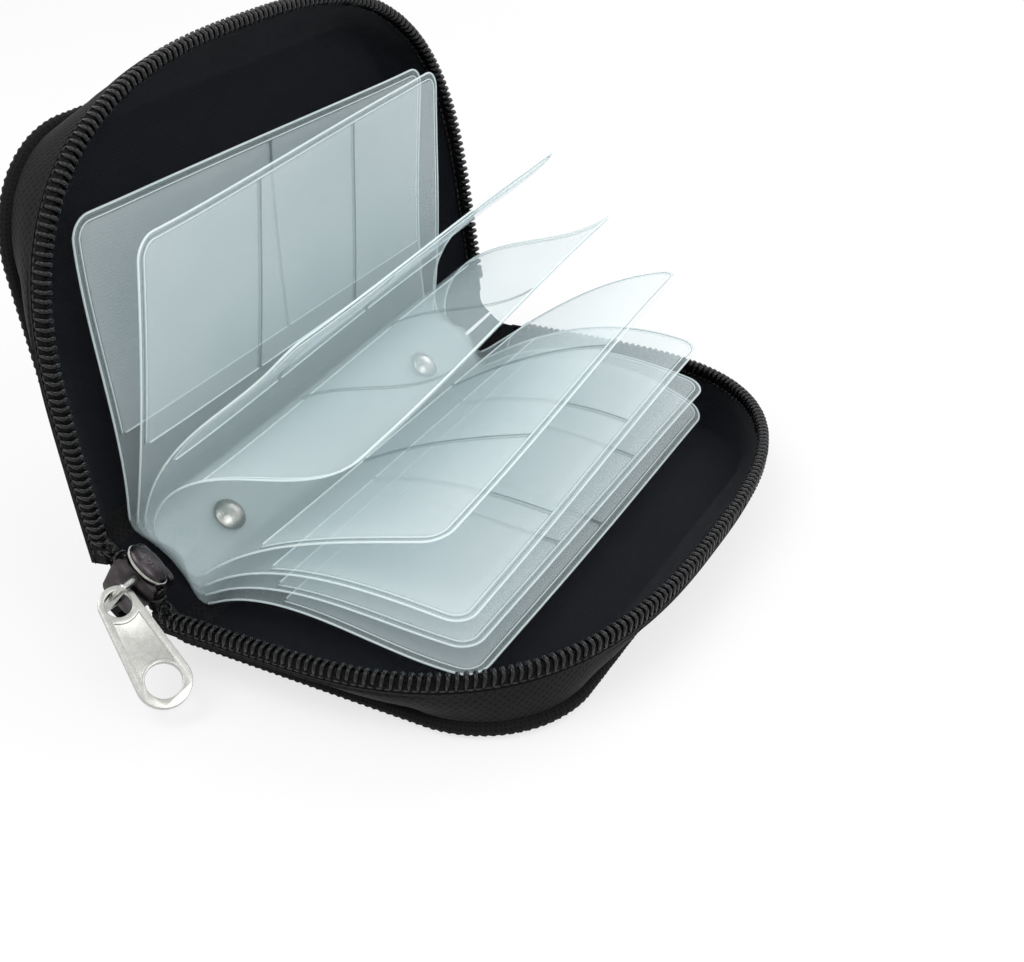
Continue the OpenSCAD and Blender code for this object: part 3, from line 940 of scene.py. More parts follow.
@dataclass
class PaddedHalf:
    """One padded half: outer cloth with its foam, lining, corded piping and the gusset wall."""

    shape: CaseShape
    half: Half
    finishes: Finishes
    crown: float = 0.0
    cloth_t: float = 1.0
    lining_t: float = 0.5
    gusset_t: float = 1.2
    belly: float = 0.13
    tuck: float = 0.16
    cord_pitch: float = 1.35
    cord_relief: float = 0.13
    columns: int = 58
    edge_step: float = 1.6
    start: float = 2.6

    def outer_places(self, inset: float, columns: int, rows: int) -> list[list[Vector]]:
        """Grid over the half's outline, with the corners rounded by its rows drawing together.

        Args:
            inset: Distance inside the outline.
            columns: Number of places from the hinge out.
            rows: Number of places along the spine.

        Returns:
            Places as s and y, in columns.
        """
        depth = self.shape.case_depth - inset
        straight = self.shape.case_depth - self.shape.corner_r
        flat = round(columns * 0.62)
        places = spread(self.start, straight, flat)
        turns = spread(0, math.pi / 2, columns - flat + 1)[1:]
        places += [straight + (depth - straight) * math.sin(t) for t in turns]
        sides = spread(-1, 1, rows)
        return [[Vector((s, v * self.shape.half_width(s, inset))) for v in sides] for s in places]

    def panel(self) -> bpy.types.Object:
        """Makes the outer cloth with its foam backing, softly crowned and drawn in at the piping."""
        inset = self.shape.piping_d * 0.55
        grid = []
        for column in self.outer_places(inset, self.columns, self.columns):
            line = []
            for p in column:
                to_edge = min(self.shape.case_depth - inset - p.x,
                              self.shape.half_width(p.x, inset) - abs(p.y))
                rise = share(to_edge, 0, 11)
                pucker = ripple(Vector((p.x, p.y, 0)), 4.5, 2.0) * (1 - share(to_edge, 2, 9)) * 0.12
                sag = ripple(Vector((p.x, p.y, 5)), 30, 4.0) * 0.25 * rise if self.crown else 0.0
                z = 0.55 - 0.55 * share(to_edge, 0, 2.2) - self.crown * rise
                z += pucker * share(to_edge, 0, 3) + sag
                line.append(self.shape.half(self.half, p.x, p.y, max(z, 0.0) if not self.crown else z))
            grid.append(line)
        under, over = (0.0, self.cloth_t) if self.normal_is_up(grid) else (self.cloth_t, 0.0)
        piece = thick_sheet(f"{self.half.word}_panel", grid, under, over, self.finishes.shell)
        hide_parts(f"{self.half.word}_cloth")
        return piece

    def normal_is_up(self, grid: Grid) -> bool:
        """Whether a grid's normals point to the half's inside."""
        middle = grid_normals(grid)[len(grid) // 2][len(grid[0]) // 2]
        return middle.dot(self.shape.half_up(self.half)) > 0

    def wall_point(self, core: Vector, out: Vector, up: float, shift: float) -> Vector:
        """Point of the gusset wall.

        Args:
            core: The place's core point.
            out: The place's outward direction.
            up: Share of the way from the piping to the rim's tape.
            shift: Distance outwards from the wall's middle.

        Returns:
            The point as s, y and z.
        """
        shape = self.shape
        foot = shape.corner_r - shape.piping_d / 2 - 0.4
        reach = shape.rim_reach(core, out)
        top = shape.rim_height((core + out * reach).x) - shape.tape_w + 1.0
        bottom = shape.piping_d + 0.1
        bulge = self.belly * math.sin(math.pi * up) * (reach - foot)
        distance = foot + (reach - foot) * up + bulge
        place = core + out * distance
        here = Vector((place.x, place.y, up * 10))
        wave = ripple(here, 13, 1.0) * 0.45 + ripple(here, 5, 3.0) * 0.22
        seam = ripple(Vector((place.x, place.y, 0)), 2.6, 5.0) * self.tuck * (1 - share(up, 0.05, 0.45))
        swell = (wave * math.sin(math.pi * min(1.0, up * 1.1)) + seam) * share(place.x, 1, 8)
        place = core + out * (distance + shift + swell)
        return Vector((place.x, place.y, bottom + (top - bottom) * up))

    def gusset(self) -> bpy.types.Object:
        """Makes the gusset's outer cloth: it rises from the piping with a soft belly and puckers."""
        rings = []
        levels = [i / 12 for i in range(13)]
        for core, out in self.shape.edge_places(0.5, self.edge_step):
            outside = [self.wall_point(core, out, up, self.gusset_t / 2) for up in levels]
            inside = [self.wall_point(core, out, up, -self.gusset_t * 0.2) for up in reversed(levels)]
            rings.append([self.shape.half(self.half, *p) for p in outside + inside])
        piece = swept_ring(f"{self.half.word}_gusset_wall", rings, self.finishes.shell, 65)
        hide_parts(f"{self.half.word}_gusset")
        return piece

    def lining(self) -> bpy.types.Object:
        """Makes the lining: flat over the panel, then up the inside of the gusset to the tape."""
        word, shape = self.half.word, self.shape
        inset = shape.piping_d + 1.0
        columns, rows = 44, 56
        floor = self.outer_places(inset, columns, rows)
        points: list[Vector] = []
        for column in floor:
            for p in column:
                to_edge = min(shape.case_depth - inset - p.x, shape.half_width(p.x, inset) - abs(p.y))
                soft = ripple(Vector((p.x, p.y, 9)), 16, 6.0) * 0.12
                soft += ripple(Vector((p.x, p.y, 2)), 5, 8.0) * 0.04
                points.append(Vector((p.x, p.y, shape.panel_t + soft * share(to_edge, 0, 6) - 0.25)))
        faces = sheet_faces(columns, rows)
        edge = [i * rows for i in range(columns)]
        edge += [(columns - 1) * rows + j for j in range(1, rows)]
        edge += [i * rows + rows - 1 for i in range(columns - 2, -1, -1)]
        deep, long = shape.case_depth - shape.corner_r, shape.half_len - shape.corner_r
        previous = edge
        levels = [0.12, 0.25, 0.38, 0.52, 0.68, 0.84, 1.0]
        for up in levels:
            first = len(points)
            for index in edge:
                foot = points[index]
                core = Vector((min(foot.x, deep), max(-long, min(long, foot.y))))
                out = (Vector((foot.x, foot.y)) - core).normalized()
                wall = self.wall_point(core, out, up, -self.gusset_t * 0.2 - 0.35)
                ease = 1 - (1 - min(1.0, up * 1.6)) ** 2
                low = Vector((foot.x, foot.y, shape.panel_t + 0.2))
                points.append(low.lerp(wall, ease) if up < 0.6 else wall)
            ring = list(range(first, first + len(edge)))
            for k in range(len(edge) - 1):
                faces.append((previous[k], ring[k], ring[k + 1], previous[k + 1]))
            previous = ring
        placed = [shape.half(self.half, *p) for p in points]
        uvs = [((p.x + p.z) / 10, p.y / 10) for p in points]
        piece = new_piece(f"{word}_lining_sheet", placed, faces, self.finishes.lining, uvs, 80)
        thicken(piece, self.lining_t, self.shape.half_up(self.half))
        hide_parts(f"{word}_lining")
        return piece

    def piping(self) -> bpy.types.Object:
        """Makes the corded piping, with the twist of the cord showing through its cover."""
        shape = self.shape
        inset = shape.piping_d / 2
        path = resample(shape.outline(self.half, inset, inset + 0.15, 0.4, 1.0), 0.42)
        radius = shape.piping_d / 2 - self.cord_relief

        def twisted(length: float, angle: float) -> float:
            """Radius of the cord at a length and an angle."""
            return radius + self.cord_relief * math.cos(2 * math.pi * length / self.cord_pitch + angle * 2)

        rings = tube_rings(path, twisted, 14)
        piece = swept_ring(f"{self.half.word}_piping_cord", rings, self.finishes.piping, 180)
        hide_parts(f"{self.half.word}_piping")
        return piece

    def build(self) -> None:
        """Builds all pieces of the half and sets them on its body."""
        for piece in (self.panel(), self.gusset(), self.lining(), self.piping()):
            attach(piece, self.half.value)
            report(piece)
        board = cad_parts[f"{self.half.word}_board"]
        dress(board, self.finishes.board)


def thicken(piece: bpy.types.Object, thickness: float, up: Vector) -> None:
    """Gives an open sheet its thickness, away from the side that shows.

    Args:
        piece: The sheet.
        thickness: Its thickness in millimetres.
        up: Direction that the sheet's shown side faces at its middle.
    """
    mesh = piece.data
    total = Vector((0, 0, 0))
    for face in mesh.polygons:
        total += face.normal * face.area
    if total.dot(up) < 0:
        mesh.flip_normals()
    solid = piece.modifiers.new("thickness", "SOLIDIFY")
    solid.thickness = thickness * MM
    solid.offset = -1
    graph = bpy.context.evaluated_depsgraph_get()
    made = bpy.data.meshes.new_from_object(piece.evaluated_get(graph))
    piece.modifiers.clear()
    piece.data = made
    made.shade_smooth()
    made.set_sharp_from_angle(angle=math.radians(80))


def dress(node: bpy.types.Object, finish: bpy.types.Material) -> None:
    """Gives a CAD node its finish.

    Args:
        node: The node's object.
        finish: Its material.
    """
    node.data.materials.clear()
    node.data.materials.append(finish)
    LOG.info("%s keeps its shape and is finished as %s", node.name, finish.name)


def softened(node_name: str, width: float, finish: bpy.types.Material) -> bpy.types.Object:
    """Makes a piece in the shape of a CAD node, its edges rounded as plating and tumbling leave them.

    Args:
        node_name: Name of the node that the piece replaces.
        width: Width of the rounding in millimetres.
        finish: Material of the piece.

    Returns:
        The new piece.
    """
    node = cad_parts[node_name]
    mesh = node.data.copy()
    mesh.name = f"{node_name}_rounded"
    mesh.transform(node.matrix_world)
    shape = bmesh.new()
    shape.from_mesh(mesh)
    bmesh.ops.remove_doubles(shape, verts=shape.verts, dist=1e-6)
    bmesh.ops.dissolve_limit(shape, angle_limit=math.radians(1), verts=shape.verts, edges=shape.edges)
    sharp = [e for e in shape.edges if len(e.link_faces) == 2 and e.calc_face_angle(0) > math.radians(35)]
    bmesh.ops.bevel(shape, geom=sharp, offset=width * MM, segments=3, profile=0.5, affect="EDGES",
                    clamp_overlap=True)
    bmesh.ops.remove_doubles(shape, verts=shape.verts, dist=1e-6)
    bmesh.ops.recalc_face_normals(shape, faces=shape.faces)
    shape.to_mesh(mesh)
    shape.free()
    mesh.materials.clear()
    mesh.materials.append(finish)
    mesh.shade_smooth()
    mesh.set_sharp_from_angle(angle=math.radians(40))
    piece = bpy.data.objects.new(mesh.name, mesh)
    bpy.context.scene.collection.objects.link(piece)
    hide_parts(node_name)
    return piece


def report(piece: bpy.types.Object) -> None:
    """Reports a finished piece."""
    LOG.info("%s: %d faces", piece.name, len(piece.data.polygons))


@dataclass
class Spine:
    """The soft spine: its padded outside, lining, end walls, hinge folds and the piping at its ends."""

    shape: CaseShape
    finishes: Finishes
    fold_reach: float = 3.0
    end_in: float = 2.8
    crown: float = 0.35
    cover_top: float = 5.0

    def plate(self, name: str, b: float, t: float, finish: bpy.types.Material,
              crown: float) -> bpy.types.Object:
        """Makes one layer of the spine between the hinge folds.

        Args:
            name: Name of the piece.
            b: Where the layer's outer side lies.
            t: Its thickness.
            finish: Its material.
            crown: How far its middle stands proud, outwards.

        Returns:
            The new piece.
        """
        shape = self.shape
        low, high = self.fold_reach - 0.4, shape.spine_w - self.fold_reach + 0.4
        half = shape.half_len - self.end_in
        grid = []
        for a in spread(low, high, 12):
            line = []
            for y in spread(-half, half, 60):
                rise = share(min(a - low, high - a), 0, 5) * share(half - abs(y), 0, 6)
                soft = ripple(Vector((a, y, b)), 7, 11.0) * 0.1
                line.append(shape.spine(a, y, b + t / 2 - (crown + soft) * rise))
            grid.append(line)
        return thick_sheet(name, grid, t / 2, t / 2, finish, 80)

    def hinge_fold(self, half: Half) -> bpy.types.Object:
        """Makes the cloth that bends at a hinge line, outside and inside.

        Args:
            half: The half on the other side of the hinge line.

        Returns:
            The new piece, shaped round the fold between the half and the spine.
        """
        shape = self.shape
        reach = self.fold_reach
        word = half.word
        start = 0.0 if half is Half.BACK else shape.spine_w
        side = 1.0 if half is Half.BACK else -1.0
        r = shape.panel_t / 2
        end = shape.half_len - self.end_in

        def on_half(s: float, z: float, y: float) -> Vector:
            """Point on the half's side of the fold."""
            return shape.half(half, s, y, z + r)

        def on_spine(a: float, b: float, y: float) -> Vector:
            """Point on the spine's side of the fold."""
            return shape.spine(start + side * a, y, b)

        outer_turn = 6
        rings = []
        for y in spread(-end, end, 90):
            wave = ripple(Vector((start, y, 3)), 6, 12.0) * 0.08
            low = [on_half(s, -r - wave, y) for s in spread(reach, 0.3, 5)]
            centre = on_half(0, 0, y)
            first = (on_half(0, -r, y) - centre)
            last = (on_spine(0, -r, y) - centre)
            for k in range(outer_turn + 1):
                direction = first.lerp(last, k / outer_turn).normalized()
                low.append(centre + direction * (r + wave))
            low += [on_spine(a, -r - wave, y) for a in spread(0.3, reach, 5)]
            inner = [on_spine(a, r - 0.05, y) for a in spread(reach, 1.0, 5)]
            corner = (on_half(0.55, r, y) + on_spine(0.55, r, y)) / 2
            middle = [inner[-1].lerp(corner, k / 4) for k in (1, 2, 3)]
            away = on_half(1.0, r - 0.05, y)
            middle += [corner.lerp(away, k / 4) for k in (0, 1, 2, 3)]
            inner += middle + [on_half(s, r - 0.05, y) for s in spread(1.0, reach, 5)]
            rings.append(low + inner)
        if len(rings[0]) % 2:
            rings = [ring[:-1] for ring in rings]
        piece = swept_ring(f"{word}_hinge_cloth", rings, self.finishes.shell, 80)
        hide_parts(f"{word}_hinge_fold")
        on_half(reach, 0, 0) * MM
        on_spine(reach, 0, 0) * MM
        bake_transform(piece)
        return piece

    def end_piping(self, half: Half, end: End) -> bpy.types.Object:
        """Makes the stretch of piping that goes round a hinge at an end of the spine.

        Args:
            half: The half that the piping comes from.
            end: The end of the spine.

        Returns:
            The new piece, which runs from the half round the hinge onto the spine.
        """
        shape = self.shape
        side = 1.0 if half is Half.BACK else -1.0
        start = 0.0 if half is Half.BACK else shape.spine_w
        y = end.value * (shape.half_len - shape.piping_d / 2)
        path = [shape.half(half, s, y, shape.panel_t / 2 + 0.05) for s in spread(3.4, 0.4, 8)]
        path += [shape.spine(start + side * a, y, 0.05) for a in spread(0.4, shape.spine_w / 2, 26)]
        radius = shape.piping_d / 2 - 0.13
        winding = 2 * math.pi / 1.35
        rings = tube_rings(path, lambda at, angle: radius + 0.12 * math.cos(winding * at + angle * 2), 14)
        piece = swept_ring(f"{half.word}_end_piping_{end.name.lower()}", rings, self.finishes.piping, 180)
        stop = shape.spine(start + side * 3, y, 0)
        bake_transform(piece)
        return piece

    def end_cover(self, half: Half, end: End) -> bpy.types.Object:
        """Makes the half of the folded cloth that closes an end of the spine between the two gussets.

        Args:
            half: The half whose gusset the cloth joins.
            end: The end of the spine.

        Returns:
            The new piece, which runs from the half's gusset to the middle of the spine.
        """
        shape = self.shape
        middle = shape.spine_w / 2
        side = 1.0 if half is Half.BACK else -1.0
        foot = shape.half_len - shape.piping_d / 2 - 1.0
        rim = shape.half_len + shape.flare_end - shape.rim_draw_in
        edge = shape.rim_height(0.5)
        grid = []
        for up in spread(0, 1, 16):
            z = 2.2 + (edge - 1.6 - 2.2) * up
            y_edge = foot + (rim - foot) * up + 0.45 * math.sin(math.pi * up)
            start = shape.half(half, 0.9, end.value * y_edge, z)
            top = self.cover_top if end is End.NEAR else self.cover_top + 1.8
            b = 0.2 + (top - 0.2) * up
            y_middle = foot - 0.6 + (rim - foot - 1.2) * up
            stop = shape.spine(middle - side * 0.4, end.value * y_middle, b)
            line = []
            for t in spread(0, 1, 14):
                p = start.lerp(stop, t)
                fold = math.sin(math.pi * t) * (0.9 * up + 0.25)
                fold += ripple(p, 3.2, 9.0) * 0.2 * math.sin(math.pi * t)
                line.append(p - Vector((0, end.value * fold, 0)))
            grid.append(line)
        name = f"{half.word}_end_cloth_{end.name.lower()}"
        piece = thick_sheet(name, grid, 0.35, 0.35, self.finishes.shell, 80)
        shape.half(half, 0, 0, 0) * MM
        shape.half(half, -5.5, 0, 0) * MM
        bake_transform(piece)
        return piece

    def build(self) -> None:
        """Builds the spine's pieces and sets its outer and inner layers on the spine's body."""
        r = self.shape.panel_t / 2
        outer = self.plate("spine_outer", -r, 1.0, self.finishes.shell, self.crown)
        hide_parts("spine_cloth")
        inner = self.plate("spine_inner", r - 0.6, 0.5, self.finishes.lining, 0.0)
        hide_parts("spine_lining")
        for piece in (outer, inner):
            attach(piece, "spine")
            report(piece)
        for half in Half:
            report(self.hinge_fold(half))
            for end in End:
                report(self.end_piping(half, end))
                cover = self.end_cover(half, end)
                if (half, end) == (Half.BACK, End.NEAR):
                    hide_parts("spine_end_webs")
                report(cover)
        dress(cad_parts["spine_board"], self.finishes.board)
        dress(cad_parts["zip_end_tab"], self.finishes.tape)
        dress(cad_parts["zip_bottom_stop"], self.finishes.gunmetal)


@dataclass
class ZipSide:
    """One row of the zip: its tape, the coil's teeth and the rows of stitches."""

    shape: CaseShape
    half: Half
    finishes: Finishes
    pitch: float = 1.4
    tooth_w: float = 1.18
    tooth_h: float = 2.35
    wire: float = 0.34
    gap: float = 0.62
    tape_t: float = 0.7
    lead_in: float = 4.6

    def tape(self) -> bpy.types.Object:
        """Makes the woven tape, an upright band below the teeth."""
        shape = self.shape
        grid = []
        for low in spread(shape.tape_w, 1.5, 6):
            grid.append(shape.rim(self.half, 0.5, 1.3, drop_by=low))
        piece = thick_sheet(f"{self.half.word}_tape_band", grid, self.tape_t / 2, self.tape_t / 2,
                            self.finishes.tape, 60)
        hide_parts(f"{self.half.word}_zip_tape")
        return piece

    def tooth(self) -> bpy.types.Object:
        """Makes one loop of the coil: two legs astride the tape and a broad head."""
        w, h = self.tooth_w - self.wire, self.tooth_h - self.wire
        path = [Vector(p) for p in (
            (-0.34, -w, -h), (-0.16, -w, -h * 0.5), (0.0, -w * 0.96, -0.35), (0.02, -w * 0.55, 0.0),
            (0.05, w * 0.55, 0.0), (0.07, w * 0.96, -0.35), (0.2, w, -h * 0.5), (0.36, w, -h))]
        thick = (0.8, 1.0, 1.12, 1.25, 1.25, 1.12, 1.0, 0.8)
        rings = []
        for i, point in enumerate(path):
            ahead = (path[min(i + 1, len(path) - 1)] - path[max(i - 1, 0)]).normalized()
            along = Vector((1, 0, 0))
            along = (along - ahead * along.dot(ahead)).normalized()
            beside = ahead.cross(along)
            ring = []
            for k in range(6):
                angle = 2 * math.pi * k / 6
                reach = self.wire * thick[i]
                wide = along * math.cos(angle) * reach * 1.12
                ring.append(point + wide + beside * math.sin(angle) * reach)
            rings.append(ring)
        return swept_ring("tooth_pattern", rings, self.finishes.coil, 180)

    def coil(self) -> bpy.types.Object:
        """Makes the coil's row of teeth along the rim."""
        tooth = self.tooth()
        path = self.shape.rim(self.half, self.lead_in, self.pitch / 2, drop_by=self.gap + self.wire)
        up = self.shape.half_up(self.half)
        name = f"{self.half.word}_coil_teeth"
        piece = PathRepeat(self.pitch, up, 0.05).build(name, path, tooth, self.finishes.coil)
        drop(tooth)
        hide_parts(f"{self.half.word}_zip_coil")
        return piece

    def stitches(self, name: str, drop_by: float, shift: float, length: float,
                 pitch: float) -> bpy.types.Object:
        """Makes a row of stitches along the rim.

        Args:
            name: Name of the row.
            drop_by: How far below the rim's top it lies.
            shift: How far outside the rim's middle it lies.
            length: Length of a stitch.
            pitch: Distance from one stitch to the next.

        Returns:
            The new piece.
        """
        half_l, r = length / 2, 0.16
        path = [Vector((x * half_l, 0, 0)) for x in (-1, -0.7, 0, 0.7, 1)]
        sizes = (0.35, 0.9, 1.0, 0.9, 0.35)
        rings = []
        for point, size in zip(path, sizes):
            rings.append([point + Vector((0, math.cos(t), math.sin(t))) * r * size
                          for t in (2 * math.pi * k / 6 for k in range(6))])
        stitch = swept_ring("stitch_pattern", rings, self.finishes.thread, 180)
        line = self.shape.rim(self.half, 3.0, 1.0, drop_by=drop_by, shift=shift)
        up = self.shape.half_up(self.half)
        full_name = f"{self.half.word}_{name}"
        piece = PathRepeat(pitch, up, 0.06).build(full_name, line, stitch, self.finishes.thread)
        drop(stitch)
        return piece

    def build(self) -> None:
        """Builds the row's pieces and sets them on the half's body."""
        below = self.tooth_h + self.gap + 0.15
        aside = self.tape_t / 2 + 0.62
        rows = [self.stitches("coil_stitches_out", below, aside, 1.0, self.pitch),
                self.stitches("coil_stitches_in", below, -aside, 1.0, self.pitch)]
        for piece in (self.tape(), self.coil(), *rows):
            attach(piece, self.half.value)
            report(piece)
        dress(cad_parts[f"{self.half.word}_top_stop"], self.finishes.gunmetal)


@dataclass(frozen=True)
class LeafBend:
    """How a leaf bends: its direction at the fold, half way and at its free edge, in degrees."""

    near: tuple[float, float, float]
    far: tuple[float, float, float]

    def heading(self, out: float, along: float) -> float:
        """Direction of the leaf at a place.

        Args:
            out: Share of the way from the fold to the free edge.
            along: Share of the way from the near end to the far end.

        Returns:
            The direction above the back half, in degrees.
        """
        weights = ((1 - out) ** 2, 2 * out * (1 - out), out * out)
        near = sum(w * h for w, h in zip(weights, self.near))
        far = sum(w * h for w, h in zip(weights, self.far))
        return near + (far - near) * share(along, -0.15, 1.15)


@dataclass
class Booklet:
    """Four folded sheets of clear film, riveted to the spine, each with two leaves of card pockets."""

    shape: CaseShape
    finishes: Finishes
    page_len: float = 100.0
    page_w: float = 56.0
    page_r: float = 4.0
    pocket_d: float = 36.0
    weld_w: float = 1.6
    film_t: float = 0.36
    pocket_t: float = 0.2
    pocket_lift: float = 0.3
    divider_w: float = 0.9
    inner_r: float = 2.2
    seam_r: float = 0.5
    root_turn: float = 4.0
    fold_lift: float = 2.6
    rivet_span: float = 68.0
    sheet_count: int = 4
    bends: tuple[LeafBend, ...] = (
        LeafBend((80, 112, 86), (100, 82, 87)),
        LeafBend((76, 82, 83.6), (79, 95, 88)),
        LeafBend((84, 20, 52), (121.9, 3.1, 52.4)),
        LeafBend((88.5, -40.7, 52.2), (109.6, -31.2, 46.7)),
        LeafBend((48.7, 8.8, 18.5), (38.1, 46.9, 12)),
        LeafBend((44.4, -6.8, -3.1), (37.2, 26.8, -12.4)),
        LeafBend((42, -20, 4), (42.4, 0.9, -13.5)),
        LeafBend((41, -36.3, 11.1), (36.2, 8.8, -31)),
    )

    def sheet_of(self, leaf: int) -> int:
        """Number of a leaf's sheet, 1 for the outermost."""
        return leaf if leaf <= self.sheet_count else 2 * self.sheet_count + 1 - leaf

    def side_of(self, leaf: int) -> float:
        """1 for a leaf on the front half's side of the fold, -1 for one on the back half's."""
        return 1.0 if leaf <= self.sheet_count else -1.0

    def fold_half(self, sheet: int) -> float:
        """Half the width of a sheet's flat fold."""
        return 3.85 + (self.sheet_count - sheet) * 1.4

    def fold_b(self, sheet: int, y: float) -> float:
        """Height of a sheet's fold above the spine's middle plane at a place along it."""
        free = share(abs(y), self.rivet_span / 2 + 2, self.page_len / 2 + 4)
        return 2.05 + (sheet - 1) * 0.8 + self.fold_lift * free

    def line(self, leaf: int, y: float, count: int = 48) -> tuple[list[Vector], list[float]]:
        """The leaf's line from the middle of its fold to its free edge at one place along the spine.

        Args:
            leaf: Number of the leaf.
            y: Place along the spine.
            count: Number of steps past the fold.

        Returns:
            Points in the frame, and each one's distance from the leaf's hinge line.
        """
        shape, side, sheet = self.shape, self.side_of(leaf), self.sheet_of(leaf)
        half = self.fold_half(sheet)
        points, reach = [], []
        for a in spread(0, half - 0.6, 5):
            dip = self.fold_b(sheet, y) - (self.fold_b(sheet, y) - self.fold_b(sheet, 0)) * (a / half) ** 2
            points.append(shape.spine(shape.spine_w / 2 + side * a, y, dip))
            reach.append(a - half)
        start = math.degrees(shape.spine_angle) + (0 if side > 0 else -180)
        step = (self.page_w + 0.6) / count
        at = points[-1].copy()
        for i in range(count):
            out = (i + 0.5) / count
            turned = share(out * self.page_w, 0, self.root_turn)
            angle = start + (self.bends[leaf - 1].heading(out, y / self.page_len + 0.5) - start) * turned
            at = at + Vector((math.cos(math.radians(angle)), 0, math.sin(math.radians(angle)))) * step
            points.append(at.copy())
            reach.append(-0.6 + (i + 1) * step)
        return points, reach

    def surface(self, leaf: int) -> Callable[[float, float, float], Vector]:
        """The leaf's surface as a function.

        Args:
            leaf: Number of the leaf.

        Returns:
            A function of the distance from the hinge line, the place along the spine and the height
            above the leaf's pocket side, which gives the point.
        """
        places = spread(-self.page_len / 2, self.page_len / 2, 51)
        lines = [self.line(leaf, y) for y in places]
        reach = lines[0][1]
        up = -self.side_of(leaf)

        def raw(out: float, y: float) -> Vector:
            """Point of the film's middle."""
            k = 0
            while k < len(reach) - 2 and reach[k + 1] < out:
                k += 1
            part = (out - reach[k]) / (reach[k + 1] - reach[k])
            spot = (y + self.page_len / 2) / self.page_len * (len(places) - 1)
            j = max(0, min(len(places) - 2, int(spot)))
            one = lines[j][0][k].lerp(lines[j][0][k + 1], part)
            two = lines[j + 1][0][k].lerp(lines[j + 1][0][k + 1], part)
            return one.lerp(two, spot - j)

        def at(out: float, y: float, lift: float) -> Vector:
            """Point at a height above the film's pocket side."""
            here = raw(out, y)
            ahead = raw(out + 0.5, y) - raw(out - 0.5, y)
            beside = raw(out, min(y + 1, self.page_len / 2)) - raw(out, max(y - 1, -self.page_len / 2))
            return here + ahead.cross(beside).normalized() * (lift * up)

        return at

    def leaf_width(self, out: float, inset: float) -> float:
        """Half the leaf's length at a distance from the hinge line, inside its rounded corners."""
        r = self.page_r - inset
        past = out - (self.page_w - self.page_r)
        base = self.page_len / 2 - inset
        return base if past <= 0 else base - r + math.sqrt(max(0.0, r * r - past * past))

    def film(self, name: str, leaf: int, at: Callable[[float, float, float], Vector]) -> bpy.types.Object:
        """Makes the leaf's film, from the middle of its fold to its free edge.

        Args:
            name: Name of the piece.
            leaf: Number of the leaf.
            at: The leaf's surface.

        Returns:
            The new piece.
        """
        bend = self.page_w - self.page_r
        places = spread(-self.fold_half(self.sheet_of(leaf)), 0, 7)[:-1]
        places += spread(0, 8, 9)[:-1] + spread(8, bend, 26)
        places += [bend + self.page_r * math.sin(t) for t in spread(0, math.pi / 2, 7)[1:]]
        grid = [[at(out, v * self.leaf_width(out, 0), 0) for v in spread(-1, 1, 44)] for out in places]
        return thick_sheet(name, grid, self.film_t / 2, self.film_t / 2, self.finishes.page, 60)

    def pocket_edges(self, leaf: int) -> list[tuple[float, float]]:
        """Both sides of each pocket of a leaf, as places along the spine."""
        count = 2 if self.sheet_of(leaf) == 1 else 3
        inner = self.page_len / 2 - self.weld_w
        wide = (2 * inner - (count - 1) * self.divider_w) / count
        starts = [-inner + k * (wide + self.divider_w) for k in range(count)]
        return [(start, start + wide) for start in starts]

    def pocket(self, name: str, at: Callable[[float, float, float], Vector], low: float,
               high: float) -> bpy.types.Object:
        """Makes the film over one pocket, open at its mouth and welded down round its other sides.

        Args:
            name: Name of the piece.
            at: The leaf's surface.
            low: The pocket's near side.
            high: Its far side.

        Returns:
            The new piece.
        """
        mouth, end = self.page_w - self.pocket_d - self.weld_w, self.page_w - self.weld_w
        limit = self.page_len / 2 - self.weld_w - 0.01
        near_r = self.inner_r if low < -limit else self.seam_r
        far_r = self.inner_r if high > limit else self.seam_r
        outs = spread(mouth, end - self.inner_r, 20)
        outs += [end - self.inner_r + self.inner_r * math.sin(t) for t in spread(0, math.pi / 2, 7)[1:]]
        shares = [0.0, 0.012, 0.03, 0.06, 0.12] + spread(0.2, 0.8, 9) + [0.88, 0.94, 0.97, 0.988, 1.0]
        grid = []
        for out in outs:
            sides = []
            for side, r in ((low, near_r), (high, far_r)):
                past = max(0.0, out - (end - r))
                turn = r - math.sqrt(max(0.0, r * r - past * past))
                sides.append(side + turn if side == low else side - turn)
            line = []
            for v in shares:
                y = sides[0] + (sides[1] - sides[0]) * v
                to_weld = min(end - out, y - sides[0], sides[1] - y)
                lift = self.film_t / 2 + self.pocket_t / 2 + 0.02 + self.pocket_lift * share(to_weld, 0, 1.6)
                line.append(at(out, y, lift))
            grid.append(line)
        return thick_sheet(name, grid, self.pocket_t / 2, self.pocket_t / 2, self.finishes.pocket, 40)

    def pockets(self, name: str, leaf: int, at: Callable[[float, float, float], Vector]) -> bpy.types.Object:
        """Makes the films over all pockets of a leaf as one piece.

        Args:
            name: Name of the piece.
            leaf: Number of the leaf.
            at: The leaf's surface.

        Returns:
            The new piece.
        """
        edges = enumerate(self.pocket_edges(leaf))
        parts = [self.pocket(f"{name}_{k}", at, low, high) for k, (low, high) in edges]
        return join_pieces(name, parts)

    def cord(self, name: str, run: Sequence[tuple[float, float]],
             at: Callable[[float, float, float], Vector], lift: float,
             radius: float, finish: bpy.types.Material) -> bpy.types.Object:
        """Makes a fine raised line on a leaf.

        Args:
            name: Name of the piece.
            run: Places that it passes, as distance from the hinge line and place along the spine.
            at: The leaf's surface.
            lift: Height of its middle above the leaf's.
            radius: Half its thickness.
            finish: Its material.

        Returns:
            The new piece.
        """
        rings = tube_rings([at(out, y, lift) for out, y in run], lambda length, angle: radius, 6)
        return swept_ring(name, rings, finish, 180)

